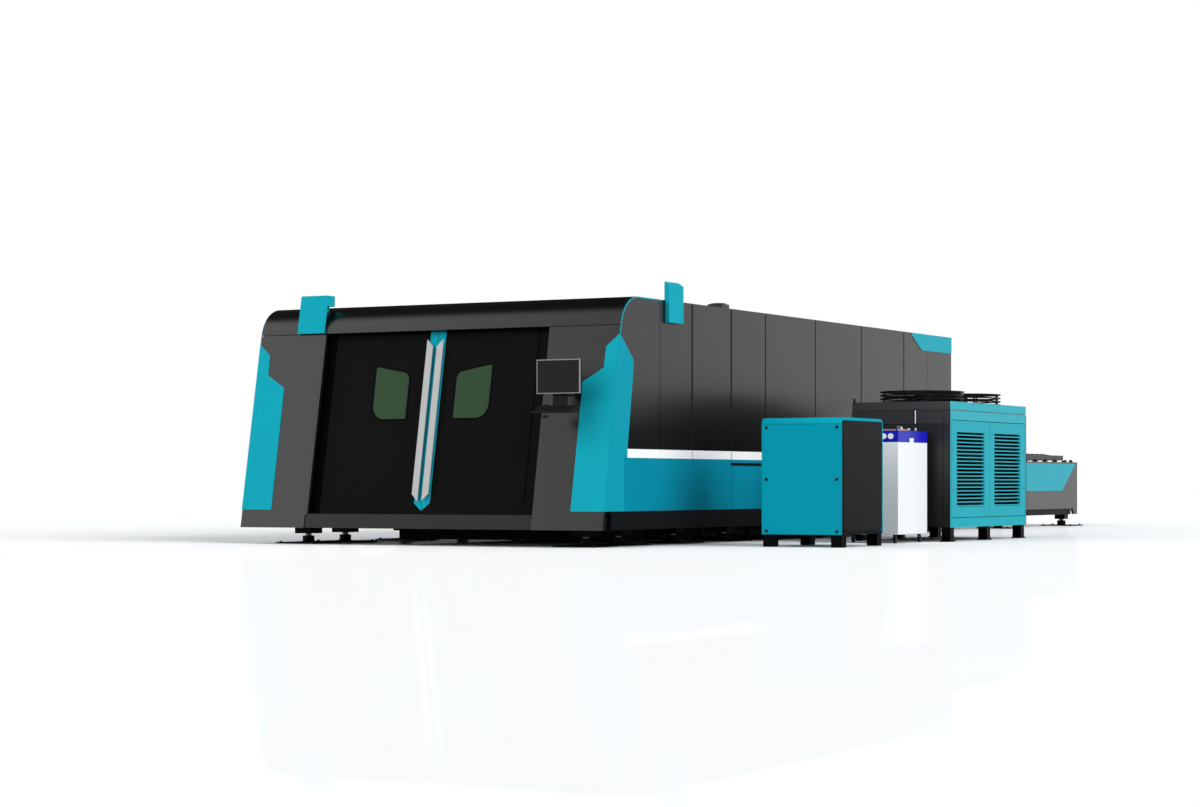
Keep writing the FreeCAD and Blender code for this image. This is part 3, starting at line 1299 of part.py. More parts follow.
# ================================================================ chiller
def chiller_body():
    """Hollow cabinet, open on the right for its doors, with fan wells, a cap seam and feet."""
    w = CH_WALL
    shell = box(CH_X, CH_Y, CH_BOTTOM, CH_RIGHT, CH_END_Y, CH_TOP)
    room = box(CH_X + w, CH_Y + w, CH_BOTTOM + w, CH_DOOR_X - w, CH_END_Y - w, CH_CAP_Z)
    doorway = box(CH_DOOR_X - w - OVER, CH_Y + CH_POST, CH_DOOR_BOTTOM,
                  CH_RIGHT + OVER, CH_END_Y - CH_POST, CH_DOOR_TOP)
    slab = box(CH_X - OVER, CH_Y - OVER, CH_CAP_Z, CH_RIGHT + OVER, CH_END_Y + OVER, CH_CAP_Z + SEAM_W)
    core = box(CH_X + SEAM_D, CH_Y + SEAM_D, CH_CAP_Z - OVER,
               CH_RIGHT - SEAM_D, CH_END_Y - SEAM_D, CH_CAP_Z + SEAM_W + OVER)
    wells = [rod(FAN_WELL_R, (FAN_X, y, CH_TOP - FAN_WELL_D), (FAN_X, y, CH_TOP + OVER)) for y in FAN_YS]
    pieces = [shell.cut([room, doorway, slab.cut(core)] + wells)]
    for y in FAN_YS:
        pieces.append(rod(MOTOR_R, (FAN_X, y, CH_TOP - FAN_WELL_D - OVER), (FAN_X, y, FAN_Z - GAP)))
        pieces.append(rod(FAN_SHAFT_R, (FAN_X, y, FAN_Z - OVER), (FAN_X, y, FAN_Z + FAN_HUB_H)))
    lip = (CH_FLANGE - CH_FOOT) / 2
    for x in (CH_X + CH_FOOT_IN, CH_RIGHT - CH_FOOT - CH_FOOT_IN):
        for y in (CH_Y + CH_FOOT_END, DOOR_SPLIT_Y - CH_FOOT / 2, CH_END_Y - CH_FOOT - CH_FOOT_END):
            pieces.append(box(x, y, 0, x + CH_FOOT, y + CH_FOOT, CH_BOTTOM + OVER))
            pieces.append(box(x, y - lip, 0, x + CH_FOOT, y + CH_FOOT + lip, CH_FLANGE_T))
    for y in DOOR_PIN_YS:
        for z in (CH_DOOR_BOTTOM, CH_DOOR_TOP):
            pieces.append(rod(HINGE_PIN_R, (DOOR_PIN_X, y, z - CH_PIN_L), (DOOR_PIN_X, y, z + CH_PIN_L)))
    return fuse_all(pieces)


def chiller_door():
    """Left-hand louvred door: its field is cut out and filled with slanting slats."""
    y0, y1 = CH_Y + CH_POST + CH_DOOR_GAP, DOOR_SPLIT_Y - CH_DOOR_GAP / 2
    z0, z1 = CH_DOOR_BOTTOM + CH_DOOR_GAP, CH_DOOR_TOP - CH_DOOR_GAP
    field0, field1 = y0 + LOUVRE_MARGIN, y1 - LOUVRE_MARGIN
    door = box(CH_DOOR_X, y0, z0, CH_RIGHT, y1, z1)
    field = box(CH_DOOR_X - OVER, field0, LOUVRE_BOTTOM, CH_RIGHT + OVER, field1, LOUVRE_TOP)
    depth = CH_PIN_L + PIN_END_GAP
    bores = [rod(HINGE_PIN_R + GAP, (DOOR_PIN_X, DOOR_PIN_YS[0], z), (DOOR_PIN_X, DOOR_PIN_YS[0], z + depth))
             for z in (CH_DOOR_BOTTOM, CH_DOOR_TOP - depth)]
    pieces = [door.cut([field] + bores)]
    pitch = (LOUVRE_TOP - LOUVRE_BOTTOM) / LOUVRE_COUNT
    rise = LOUVRE_SLOPE * pitch
    outside, inside = CH_RIGHT - LOUVRE_IN, CH_DOOR_X + LOUVRE_IN
    for i in range(LOUVRE_COUNT):
        z = LOUVRE_BOTTOM + (i + LOUVRE_START) * pitch
        outline = [(outside, z), (outside, z + LOUVRE_T), (inside, z + rise), (inside, z + rise - LOUVRE_T)]
        slat = [Vector(x, field0 - OVER, h) for x, h in outline]
        pieces.append(prism(slat, Vector(0, field1 - field0 + 2 * OVER, 0)))
    return fuse_all(pieces)


def chiller_fan(y):
    """Axial fan: hub and pitched blades round the motor shaft."""
    hub = rod(FAN_HUB_R, (FAN_X, y, FAN_Z), (FAN_X, y, FAN_Z + FAN_HUB_H))
    low, high = FAN_Z + BLADE_IN, FAN_Z + FAN_HUB_H - BLADE_IN
    root = [
        Vector(FAN_HUB_R - BLADE_SUNK, -BLADE_ROOT_HALF, low),
        Vector(FAN_HUB_R - BLADE_SUNK, -BLADE_ROOT_HALF, low + BLADE_ROOT_T),
        Vector(FAN_HUB_R - BLADE_SUNK, BLADE_ROOT_HALF, high),
        Vector(FAN_HUB_R - BLADE_SUNK, BLADE_ROOT_HALF, high - BLADE_ROOT_T),
    ]
    tip = [
        Vector(FAN_R, -BLADE_TIP_HALF, low),
        Vector(FAN_R, -BLADE_TIP_HALF, low + BLADE_TIP_T),
        Vector(FAN_R, BLADE_TIP_HALF, low + BLADE_TIP_RISE + BLADE_TIP_T),
        Vector(FAN_R, BLADE_TIP_HALF, low + BLADE_TIP_RISE),
    ]
    wires = [Part.makePolygon(section + [section[0]]) for section in (root, tip)]
    pieces = [hub]
    for i in range(FAN_BLADES):
        blade = Part.makeLoft(wires, True, True)
        blade.rotate(Vector(0, 0, 0), AXIS_Z, i * 360 / FAN_BLADES)
        blade.translate(Vector(FAN_X, y, 0))
        pieces.append(blade)
    shaft = rod(FAN_SHAFT_R + GAP, (FAN_X, y, FAN_Z - OVER), (FAN_X, y, FAN_Z + FAN_HUB_H + OVER))
    return fuse_all(pieces).cut(shaft)


def guard_ring(y, z, radius):
    outer = rod(radius, (FAN_X, y, z), (FAN_X, y, z + GUARD_WIRE))
    inner_r = radius - GUARD_WIRE
    return outer.cut(rod(inner_r, (FAN_X, y, z - OVER), (FAN_X, y, z + GUARD_WIRE + OVER)))


def fan_guard(y):
    """Cage of stacked rings, uprights and a spoked top."""
    wire = GUARD_WIRE
    top = CH_TOP + GUARD_H
    pitch = (GUARD_H - wire) / (GUARD_RINGS - 1)
    pieces = [guard_ring(y, CH_TOP + i * pitch, GUARD_R) for i in range(GUARD_RINGS)]
    outside = GUARD_R - GUARD_IN
    for i in range(GUARD_STRUTS):
        upright = box(outside - wire, -wire / 2, CH_TOP, outside, wire / 2, top)
        spoke = box(outside - GUARD_SPOKE, -wire / 2, top - wire, outside, wire / 2, top)
        for piece in (upright, spoke):
            piece.rotate(Vector(0, 0, 0), AXIS_Z, i * 360 / GUARD_STRUTS)
            piece.translate(Vector(FAN_X, y, 0))
            pieces.append(piece)
    pieces.append(guard_ring(y, top - wire, outside - GUARD_SPOKE + CROWN_LAP))
    return fuse_all(pieces)


def level_gauge():
    return box(GAUGE_X - GAUGE_W / 2, CH_Y - GAUGE_T, GAUGE_BOTTOM, GAUGE_X + GAUGE_W / 2, CH_Y, GAUGE_TOP)


# ================================================================ files
pillar = front_pillar().cut([button_bore(x, z) for x, z in button_places()])
save("base_frame", base_frame())
save("bed_beams", *both_sides(bed_beam()))
save("front_pillars", join(pillar, console_boss()), mirror(front_pillar()))
save("front_sill", front_sill())
save("curved_hood", curved_hood())
save("roof_panel", roof_panel())
save("upper_side_panels", *both_sides(upper_side_panel()))
save("lower_side_panels", *both_sides(lower_side_panel()))
save("lamp_strips", *both_sides(lamp_strip()))
save("teal_trims", *both_sides(corner_trim()), *both_sides(rear_trim()))
save("rear_wall", rear_wall())
save("rear_gate", rear_gate())
save("sign_boxes", front_sign(), side_sign())
save("door_track", door_track())

sides = {"left": (lambda shape: shape, WIN_SHIFT), "right": (mirror, -WIN_SHIFT)}
for side, (hand, shift) in sides.items():
    save(f"door_leaf_{side}", hand(door_leaf(shift)))
    save(f"window_{side}", hand(window_body(PANE_NEAR, PANE_NEAR + PANE_T, -GAP, shift)))
    save(f"grip_plate_{side}", hand(grip_plate()))
    save(f"grip_bar_{side}", hand(grip_bar()))

save("gantry", gantry())
save("cross_carriage", cross_carriage())
save("cutting_head", cutting_head())
save("outer_pallet", pallet(PALLET_OUT_Y, PALLET_Z))
save("inner_pallet", pallet(PALLET_OUT_Y - PALLET_TRAVEL, LOWER_Z))
save("table_sides", *both_sides(table_panel()), end_beam())
save("table_bands", *both_sides(table_band()))
save("exchange_frame", exchange_frame())
save("table_rollers", *rollers())

feet = [levelling_foot(*place) for place in foot_places()]
plates = [floor_plate(*place[:2]) for place in foot_places()]
save("levelling_feet", *feet, *[mirror(foot) for foot in feet])
save("floor_plates", *plates, *[mirror(plate) for plate in plates])

save("console_arm", console_arm())
save("monitor", monitor())
save("keyboard_tray", keyboard_tray())
for number, (x, z) in enumerate(button_places(), start=1):
    save(f"push_button_{number}", push_button(x, z))

save("cabinet_shell", cabinet_shell())
save("cabinet_door", cabinet_door())
save("source_body", source_body())
save("source_cover", source_cover())
save("source_lamps", *source_lamps())
for corner, (x, y) in castor_places().items():
    save(f"castor_fork_{corner}", castor_fork(x, y))
    save(f"castor_wheel_{corner}", castor_wheel(x, y))

save("chiller_body", chiller_body())
save("chiller_door_left", chiller_door())
save("chiller_door_right", chiller_door().mirror(Vector(0, DOOR_SPLIT_Y, 0), AXIS_Y))
save("chiller_fan_left", chiller_fan(FAN_YS[0]))
save("chiller_fan_right", chiller_fan(FAN_YS[1]))
save("fan_guards", *[fan_guard(y) for y in FAN_YS])
save("level_gauge", level_gauge())
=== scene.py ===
import math

import bpy
from mathutils import Matrix, Vector


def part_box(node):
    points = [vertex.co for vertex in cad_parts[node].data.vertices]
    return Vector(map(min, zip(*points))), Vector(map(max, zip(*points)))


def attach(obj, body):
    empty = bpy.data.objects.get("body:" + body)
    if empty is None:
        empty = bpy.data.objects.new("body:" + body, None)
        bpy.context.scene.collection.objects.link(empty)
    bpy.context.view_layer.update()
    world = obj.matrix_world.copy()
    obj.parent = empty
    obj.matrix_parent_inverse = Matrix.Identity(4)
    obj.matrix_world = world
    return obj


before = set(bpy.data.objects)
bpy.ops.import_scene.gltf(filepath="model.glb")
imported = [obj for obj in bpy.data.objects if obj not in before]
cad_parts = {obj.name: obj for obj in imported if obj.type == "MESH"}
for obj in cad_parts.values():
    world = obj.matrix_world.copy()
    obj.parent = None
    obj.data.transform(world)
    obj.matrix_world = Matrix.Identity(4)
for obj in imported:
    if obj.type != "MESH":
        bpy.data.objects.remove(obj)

bpy.ops.object.select_all(action="DESELECT")
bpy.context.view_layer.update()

# ---------------------------------------------------------------- camera
# The photograph is taken from just above the floor, from the operator's right, with a long lens and
# the horizon low in the frame.
camera_data = bpy.data.cameras.new("camera")
camera_data.lens = 79.0
camera_data.sensor_width = 36.0
camera_data.shift_y = 0.066
camera_data.clip_end = 600.0
camera = bpy.data.objects.new("camera", camera_data)
camera.location = (13.025, -29.0585, 0.615)
camera.rotation_euler = (math.radians(90.0), 0.0, math.radians(28.85))
bpy.context.scene.collection.objects.link(camera)
bpy.context.scene.camera = camera

# ---------------------------------------------------------------- studio
# A white floor without an end in a room that the eye sees white, lit by two large soft lamps, one from the
# operator's right and one from the front. What the paint mirrors is a room of its own: brightest in front
# on the left, pale on the right, dark overhead, over a floor with painted shade near the machine that is
# paler to the left and to the rear.
bpy.context.scene.view_settings.view_transform = "Standard"
world = bpy.data.worlds.new("room")
bpy.context.scene.world = world
world.use_nodes = True
tree = world.node_tree
tree.nodes.clear()


def shader(tree, kind, **settings):
    """A node of this kind with these inputs set."""
    made = tree.nodes.new(kind)
    for name, value in settings.items():
        made.inputs[name].default_value = value
    return made


def combined(tree, how, first, second):
    """One number worked out from two, by the operation that how names."""
    both = tree.nodes.new("ShaderNodeMath")
    both.operation = how
    tree.links.new(first, both.inputs[0])
    tree.links.new(second, both.inputs[1])
    return both.outputs[0]


def ramp(tree, source, start, end, low, high, bend="SMOOTHSTEP"):
    """A number that goes from low to high as source goes from start to end."""
    step = tree.nodes.new("ShaderNodeMapRange")
    step.interpolation_type = bend
    step.inputs["From Min"].default_value = start
    step.inputs["From Max"].default_value = end
    step.inputs["To Min"].default_value = low
    step.inputs["To Max"].default_value = high
    tree.links.new(source, step.inputs["Value"])
    return step.outputs["Result"]


def axes_of(tree, space="Object"):
    """The X, Y and Z of a point on the piece or, for the room, of a direction."""
    point = tree.nodes.new("ShaderNodeTexCoord")
    axes = tree.nodes.new("ShaderNodeSeparateXYZ")
    tree.links.new(point.outputs[space], axes.inputs[0])
    return axes.outputs


def ray_kind(tree, *kinds):
    """1 for a ray of any of these kinds, 0 for every other one."""
    path = tree.nodes.new("ShaderNodeLightPath")
    found = path.outputs[kinds[0]]
    for kind in kinds[1:]:
        found = combined(tree, "MAXIMUM", found, path.outputs[kind])
    return found


def shader_mix(tree, factor, first, second):
    """The first shader where the factor is 0 and the second where it is 1."""
    mix = tree.nodes.new("ShaderNodeMixShader")
    tree.links.new(factor, mix.inputs[0])
    tree.links.new(first.outputs[0], mix.inputs[1])
    tree.links.new(second.outputs[0], mix.inputs[2])
    return mix


lighting = shader(tree, "ShaderNodeBackground", Color=(0.95, 0.98, 1.0, 1.0), Strength=0.44)
seen = shader(tree, "ShaderNodeBackground", Color=(1.0, 1.0, 1.0, 1.0))
mirrored = tree.nodes.new("ShaderNodeBackground")
axes = axes_of(tree, "Generated")
overhead = ramp(tree, axes["Z"], 0.55, 0.95, 1.0, 0.04)
ahead = combined(tree, "MULTIPLY", ramp(tree, axes["Y"], -0.35, -0.02, 1.0, 0.02),
                 ramp(tree, axes["X"], -0.75, -0.25, 3.3, 0.1))
right = combined(tree, "MULTIPLY", overhead, ramp(tree, axes["Y"], 0.70, 1.0, 0.66, 1.4))
which = tree.nodes.new("ShaderNodeMix")
which.data_type = "FLOAT"
tree.links.new(ramp(tree, axes["X"], -0.15, 0.20, 0.0, 1.0), which.inputs["Factor"])
tree.links.new(ahead, which.inputs["A"])
tree.links.new(right, which.inputs["B"])
mirror = tree.nodes.new("ShaderNodeMix")
mirror.data_type = "FLOAT"
mirror.inputs["B"].default_value = 1.0
tree.links.new(ray_kind(tree, "Is Singular Ray"), mirror.inputs["Factor"])
tree.links.new(which.outputs["Result"], mirror.inputs["A"])
tree.links.new(mirror.outputs["Result"], mirrored.inputs["Strength"])
shown = shader_mix(tree, ray_kind(tree, "Is Glossy Ray"), seen, mirrored)
room = shader_mix(tree, ray_kind(tree, "Is Camera Ray", "Is Glossy Ray", "Is Transmission Ray"),
                  lighting, shown)
out = tree.nodes.new("ShaderNodeOutputWorld")
tree.links.new(room.outputs[0], out.inputs["Surface"])

bpy.ops.mesh.primitive_plane_add(size=500.0, location=(0.0, 0.0, -0.001))
floor = bpy.context.object
floor.name = "floor"
floor_paint = bpy.data.materials.new("floor_paint")
floor_paint.use_nodes = True
tree = floor_paint.node_tree
tree.nodes.clear()
bounce = shader(tree, "ShaderNodeBsdfDiffuse", Color=(0.30, 0.31, 0.32, 1.0))
white = shader(tree, "ShaderNodeBsdfDiffuse", Color=(1.06, 1.065, 1.07, 1.0))
polish = shader(tree, "ShaderNodeBsdfGlossy", Color=(1.0, 1.0, 1.0, 1.0), Roughness=0.0)
ripple = shader(tree, "ShaderNodeBump", Strength=0.35, Distance=0.001)
grit = shader(tree, "ShaderNodeTexNoise", Scale=900.0)
tree.links.new(grit.outputs["Fac"], ripple.inputs["Height"])
tree.links.new(ripple.outputs["Normal"], polish.inputs["Normal"])
polish_share = 0.08
lacquer = tree.nodes.new("ShaderNodeMixShader")
lacquer.inputs[0].default_value = polish_share
tree.links.new(white.outputs[0], lacquer.inputs[1])
tree.links.new(polish.outputs[0], lacquer.inputs[2])
# The floor that gloss sees carries painted shade near the machine, lighter to the left and to the rear.
shaded_floor, lit_floor = 0.30, 0.75
where = axes_of(tree)
level = combined(tree, "MAXIMUM", ramp(tree, where["X"], -7.0, -3.0, lit_floor, shaded_floor),
                 ramp(tree, where["Y"], 4.0, 9.0, shaded_floor, lit_floor))
pale = tree.nodes.new("ShaderNodeBsdfDiffuse")
tree.links.new(level, pale.inputs["Color"])
under = shader_mix(tree, ray_kind(tree, "Is Glossy Ray"), bounce, pale)
top = shader_mix(tree, ray_kind(tree, "Is Camera Ray", "Is Transmission Ray"), under, lacquer)
out = tree.nodes.new("ShaderNodeOutputMaterial")
tree.links.new(top.outputs[0], out.inputs["Surface"])
floor.data.materials.append(floor_paint)

for name, towards, strength, spread in (
    ("side_lamp", (0.85, -0.18, 0.42), 2.6, 50.0),
    ("front_lamp", (-0.25, -0.85, 0.38), 1.5, 50.0),
):
    lamp = bpy.data.lights.new(name, "SUN")
    lamp.energy = strength
    lamp.angle = math.radians(spread)
    lamp_object = bpy.data.objects.new(name, lamp)
    lamp_object.rotation_euler = Vector(towards).to_track_quat("Z", "Y").to_euler()
    lamp_object.visible_glossy = False
    bpy.context.scene.collection.objects.link(lamp_object)


# ---------------------------------------------------------------- enclosure frame, pan and feet
# Welded, black-painted ladder frame with a low slag pan hung under it, standing on levelling feet
# with square floor plates. The paint is a satin powder coat with a faint orange peel; nuts are plated.
cell_length = 8.88


def at(x, y, z):
    """A place measured in metres from the right-hand wall and the foot of the front."""
    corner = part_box("upper_side_panels")[1]
    return Vector((corner.x + x, corner.y - cell_length + y, z))


def tone(code):
    """Linear colour of a hex shade."""
    parts = [int(code[i:i + 2], 16) / 255 for i in (0, 2, 4)]
    return [c / 12.92 if c <= 0.04045 else ((c + 0.055) / 1.055) ** 2.4 for c in parts]


def noise(tree, scale, detail, stretch=(1.0, 1.0, 1.0)):
    """Noise on the piece's own coordinates, in metres."""
    point = tree.nodes.new("ShaderNodeTexCoord")
    turn = shader(tree, "ShaderNodeMapping", Scale=stretch)
    cloud = shader(tree, "ShaderNodeTexNoise", Scale=scale, Detail=detail)
    tree.links.new(point.outputs["Object"], turn.inputs["Vector"])
    tree.links.new(turn.outputs["Vector"], cloud.inputs["Vector"])
    return cloud.outputs["Fac"]


def finish_of(name, shade, rough, shine, mottle=0.05, cloud=1.3, grain=420.0, peel=0.05,
              metal=0.0, stretch=(1.0, 1.0, 1.0), bands=()):
    """Material with clouded colour, slightly uneven gloss and a fine grain of height peel.

    Each of the bands is (axis, low, high, shade), in metres of the machine.
    """
    made = bpy.data.materials.new(name)
    made.use_nodes = True
    tree = made.node_tree
    skin = tree.nodes["Principled BSDF"]
    colour = tone(shade)
    noise_low, noise_high = 0.3, 0.7
    skin.inputs["Metallic"].default_value = metal
    skin.inputs["Specular IOR Level"].default_value = shine
    blend = tree.nodes.new("ShaderNodeMix")
    blend.data_type = "RGBA"
    blend.inputs["A"].default_value = [c * (1 - mottle) for c in colour] + [1.0]
    blend.inputs["B"].default_value = [min(1.0, c * (1 + mottle)) for c in colour] + [1.0]
    clouded = ramp(tree, noise(tree, cloud, 4.0, stretch), noise_low, noise_high, 0.0, 1.0, "LINEAR")
    tree.links.new(clouded, blend.inputs["Factor"])
    paint = blend.outputs["Result"]
    for axis, low, high, other in bands:
        inside = tree.nodes.new("ShaderNodeMath")
        inside.operation = "COMPARE"
        inside.inputs[1].default_value = (low + high) / 2
        inside.inputs[2].default_value = (high - low) / 2
        change = tree.nodes.new("ShaderNodeMix")
        change.data_type = "RGBA"
        change.inputs["B"].default_value = tone(other) + [1.0]
        tree.links.new(axes_of(tree)[axis], inside.inputs[0])
        tree.links.new(inside.outputs[0], change.inputs["Factor"])
        tree.links.new(paint, change.inputs["A"])
        paint = change.outputs["Result"]
    tree.links.new(paint, skin.inputs["Base Color"])
    gloss = ramp(tree, noise(tree, cloud * 0.8, 1.0, stretch), noise_low, noise_high,
                 rough * 0.98, rough * 1.02, "LINEAR")
    tree.links.new(gloss, skin.inputs["Roughness"])
    bump = shader(tree, "ShaderNodeBump", Strength=peel, Distance=0.0006)
    tree.links.new(noise(tree, grain, 2.0, stretch), bump.inputs["Height"])
    tree.links.new(bump.outputs["Normal"], skin.inputs["Normal"])
    return made


def dress(material, *nodes):
    """Gives CAD nodes their material."""
    for node in nodes:
        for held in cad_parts[node].material_slots:
            held.material = material


def soften(width, *nodes):
    """Rolls the sharp edges of CAD nodes so that they catch the light."""
    for node in nodes:
        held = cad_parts[node]
        weld = held.modifiers.new("weld", "WELD")
        weld.merge_threshold = 0.00001
        roll = held.modifiers.new("roll", "BEVEL")
        roll.width = width
        roll.segments = 2
        roll.limit_method = "ANGLE"
        roll.angle_limit = math.radians(40.0)
        roll.harden_normals = True


def block(name, low, high, edge=0.001, segments=2):
    """A bar or plate between two corners, with rolled edges."""
    bpy.ops.object.select_all(action="DESELECT")
    low, high = Vector(low), Vector(high)
    bpy.ops.mesh.primitive_cube_add(size=1.0, location=(low + high) / 2)
    made = bpy.context.object
    made.name = name
    made.scale = high - low
    bpy.ops.object.transform_apply(location=True, rotation=True, scale=True)
    bpy.ops.object.mode_set(mode="EDIT")
    bpy.ops.mesh.select_all(action="SELECT")
    bpy.ops.mesh.bevel(offset=edge, segments=segments, affect="EDGES")
    bpy.ops.object.mode_set(mode="OBJECT")
    return made


def pick(*parts):
    """Selects these objects alone, the first as the active one."""
    bpy.ops.object.select_all(action="DESELECT")
    for part in parts:
        part.select_set(True)
    bpy.context.view_layer.objects.active = parts[0]


def copy_of(pattern):
    """A copy with a mesh of its own."""
    copy = pattern.copy()
    copy.data = pattern.data.copy()
    bpy.context.scene.collection.objects.link(copy)
    return copy


def turned(name, profile, steps=20):
    """A turned piece: (radius, height) points spun about Z."""
    mesh = bpy.data.meshes.new(name)
    mesh.from_pydata([(r, 0.0, h) for r, h in profile], [(i, i + 1) for i in range(len(profile) - 1)], [])
    made = bpy.data.objects.new(name, mesh)
    bpy.context.scene.collection.objects.link(made)
    pick(made)
    bpy.ops.object.mode_set(mode="EDIT")
    bpy.ops.mesh.select_all(action="SELECT")
    bpy.ops.mesh.spin(steps=steps, angle=2 * math.pi, center=(0, 0, 0), axis=(0, 0, 1))
    bpy.ops.mesh.select_all(action="SELECT")
    bpy.ops.mesh.remove_doubles(threshold=0.000002)
    bpy.ops.mesh.normals_make_consistent(inside=False)
    bpy.ops.object.mode_set(mode="OBJECT")
    return made


def joined(name, *parts):
    """Several pieces as one object."""
    pick(*parts)
    if len(parts) > 1:
        bpy.ops.object.join()
    made = bpy.context.object
    made.name = name
    return made


def turned_to(made, place, towards=(0, 0, 1)):
    """Puts a piece modelled at the origin along Z at its place, pointing another way."""
    pick(made)
    turn = Vector(towards).to_track_quat("Z", "Y").to_matrix().to_4x4()
    made.matrix_world = Matrix.Translation(place) @ turn
    bpy.ops.object.transform_apply(location=True, rotation=True, scale=True)
    return made


def repeated(name, pattern, places, towards=(0, 0, 1)):
    """A copy of the pattern at each place, joined; the pattern itself is used up."""
    copies = [turned_to(copy_of(pattern), place, towards) for place in places]
    bpy.data.objects.remove(pattern)
    return joined(name, *copies)


def hexagon(name, radius, height, bore=0.0):
    """A chamfered hexagon along Z, with a collar round its bore if it has one."""
    bpy.ops.object.select_all(action="DESELECT")
    bpy.ops.mesh.primitive_cylinder_add(vertices=6, radius=radius, depth=height, location=(0, 0, height / 2))
    made = bpy.context.object
    made.name = name
    bpy.ops.object.transform_apply(location=True, rotation=True, scale=True)
    bpy.ops.object.mode_set(mode="EDIT")
    bpy.ops.mesh.select_all(action="SELECT")
    bpy.ops.mesh.bevel(offset=height * 0.12, segments=1, affect="EDGES")
    bpy.ops.object.mode_set(mode="OBJECT")
    if not bore:
        return made
    collar = turned(name + "_collar", [(bore, height), (bore, height * 1.15), (bore * 1.25, height * 1.15),
                                       (bore * 1.35, height)], 16)
    return joined(name, made, collar)


def bolt_head(name, radius, height, seat, steps=14):
    """A hexagon head on a turned seat, whose profile ends at the height where the head begins."""
    head = turned_to(hexagon("head", radius, height), (0, 0, seat[-1][1]))
    return joined(name, head, turned("seat", seat, steps))


def finished(made, material, body, angle=35.0):
    """Gives a piece its material and smoothing, and fixes it to its body."""
    made.data.materials.clear()
    made.data.materials.append(material)
    for face in made.data.polygons:
        face.material_index = 0
    pick(made)
    bpy.ops.object.shade_smooth_by_angle(angle=math.radians(angle))
    flat = made.modifiers.new("flat", "WEIGHTED_NORMAL")
    flat.keep_sharp = True
    bpy.ops.object.modifier_apply(modifier="flat")
    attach(made, body)
    return made


frame_black = finish_of("frame_black", "0E0F11", 0.5, 0.10)
dress(frame_black, "base_frame", "bed_beams", "exchange_frame")
foot_black = finish_of("foot_black", "0A0A0B", 0.45, 0.12)
dress(foot_black, "levelling_feet", "floor_plates", "table_rollers")
soften(0.003, "levelling_feet")
zinc = finish_of("zinc", "9EA2A5", 0.34, 0.5, mottle=0.12, cloud=30.0, metal=1.0)
bolt_black = finish_of("bolt_black", "0B0B0B", 0.4, 0.3, mottle=0.1, cloud=40.0)
base_rows = [0.48] + [1.14 + 1.16 * i for i in range(7)]
table_rows = (9.5, 12.09, 14.68)
feet = [(side, y) for y in base_rows for side in (-0.469, -3.706)]
feet += [(side, y) for y in table_rows for side in (-0.575, -3.6)]
nut = hexagon("nut", 0.034, 0.016, 0.0205)
nut_foot = 0.078
finished(repeated("foot_nuts", nut, [at(x, y, nut_foot) for x, y in feet]), zinc, "machine")
washer_line = [(0.0, 0.0), (0.022, 0.0), (0.022, 0.002), (0.018, 0.003), (0.0, 0.003)]
anchor = bolt_head("anchor", 0.014, 0.009, washer_line)
plate_top = 0.012
to_corner = 0.2
spots = [at(x + a, y + b, plate_top) for x, y in feet
         for a in (-to_corner, to_corner) for b in (-to_corner, to_corner)]
finished(repeated("plate_anchors", anchor, spots), bolt_black, "machine")
rib_foot, rib_top, rib_edge = 0.037, 0.152, 0.003
ribs = [block("rib", at(x, 1.5 + 0.6 * i, rib_foot), at(x + 0.014, 1.54 + 0.6 * i, rib_top), rib_edge)
        for x in (-0.97, -3.219) for i in range(12)]
ribs += [block("rib", at(-3.12 + 0.4 * i, 1.386, rib_foot), at(-3.08 + 0.4 * i, 1.4, rib_top), rib_edge)
         for i in range(6)]
finished(joined("pan_ribs", *ribs), frame_black, "machine")
rim_bolt = turned("rim_bolt", [(0.0, 0.012), (0.009, 0.011), (0.015, 0.006), (0.016, 0.0), (0.0, 0.0)], 12)
finished(repeated("pan_bolts", rim_bolt, [at(-2.9 + 0.4 * i, 1.4, 0.13) for i in range(5)], (0, -1, 0)),
         zinc, "machine")

# ---------------------------------------------------------------- walls, hood and roof
# Folded sheet on a frame: leaning grey pillars and sill, a rolled hood, flat side walls with black seals
# between their sheets, teal lower panels and corner trims. The grey sheet has a smooth semi-gloss powder
# coat and the teal a matt one. The side walls are a darker grey whose shine is turned down low on the
# wall and towards the front, and the lower panels a darker teal, both as painted shade; the trims are
# painted darker on their side face and lighter at the far end, and the table bands a lighter teal, as
# painted light and shade.
def shade_by_shine(material, how, *steps):
    """Sets the strength of the shine from soft steps (axis, start, end, low, high), joined by how; turning
    the shine down there paints shade.
    """
    tree = material.node_tree
    where = axes_of(tree)
    levels = [ramp(tree, where[axis], *step) for axis, *step in steps]
    level = levels[0]
    for other in levels[1:]:
        level = combined(tree, how, level, other)
    tree.links.new(level, tree.nodes["Principled BSDF"].inputs["Specular IOR Level"])


grey_coat = finish_of("grey_coat", "121212", 0.27, 0.5, mottle=0.02, peel=0.0)
dress(grey_coat, "front_pillars", "rear_wall", "rear_gate")
# A darker copy of the grey for the side walls, its shine turned down low and at the front: painted shade.
shaded_side_grey = finish_of("shaded_side_grey", "0F0F0F", 0.27, 0.5, mottle=0.02, peel=0.0)
rear_part = at(0.0, 3.5, 0.0).y
shade_by_shine(shaded_side_grey, "MAXIMUM", ("Z", 0.95, 1.75, 0.06, 0.5), ("Y", rear_part, rear_part + 3.0, 0.0, 0.5))
dress(shaded_side_grey, "upper_side_panels")
sill_grey = finish_of("sill_grey", "101010", 0.4, 0.3, mottle=0.02, peel=0.0)
dress(sill_grey, "front_sill")
hood_coat = finish_of("hood_coat", "070707", 0.27, 0.5, mottle=0.02, peel=0.0)
dress(hood_coat, "curved_hood", "roof_panel")
teal_coat = finish_of("teal_coat", "13A3B5", 0.5, 0.04, mottle=0.02)
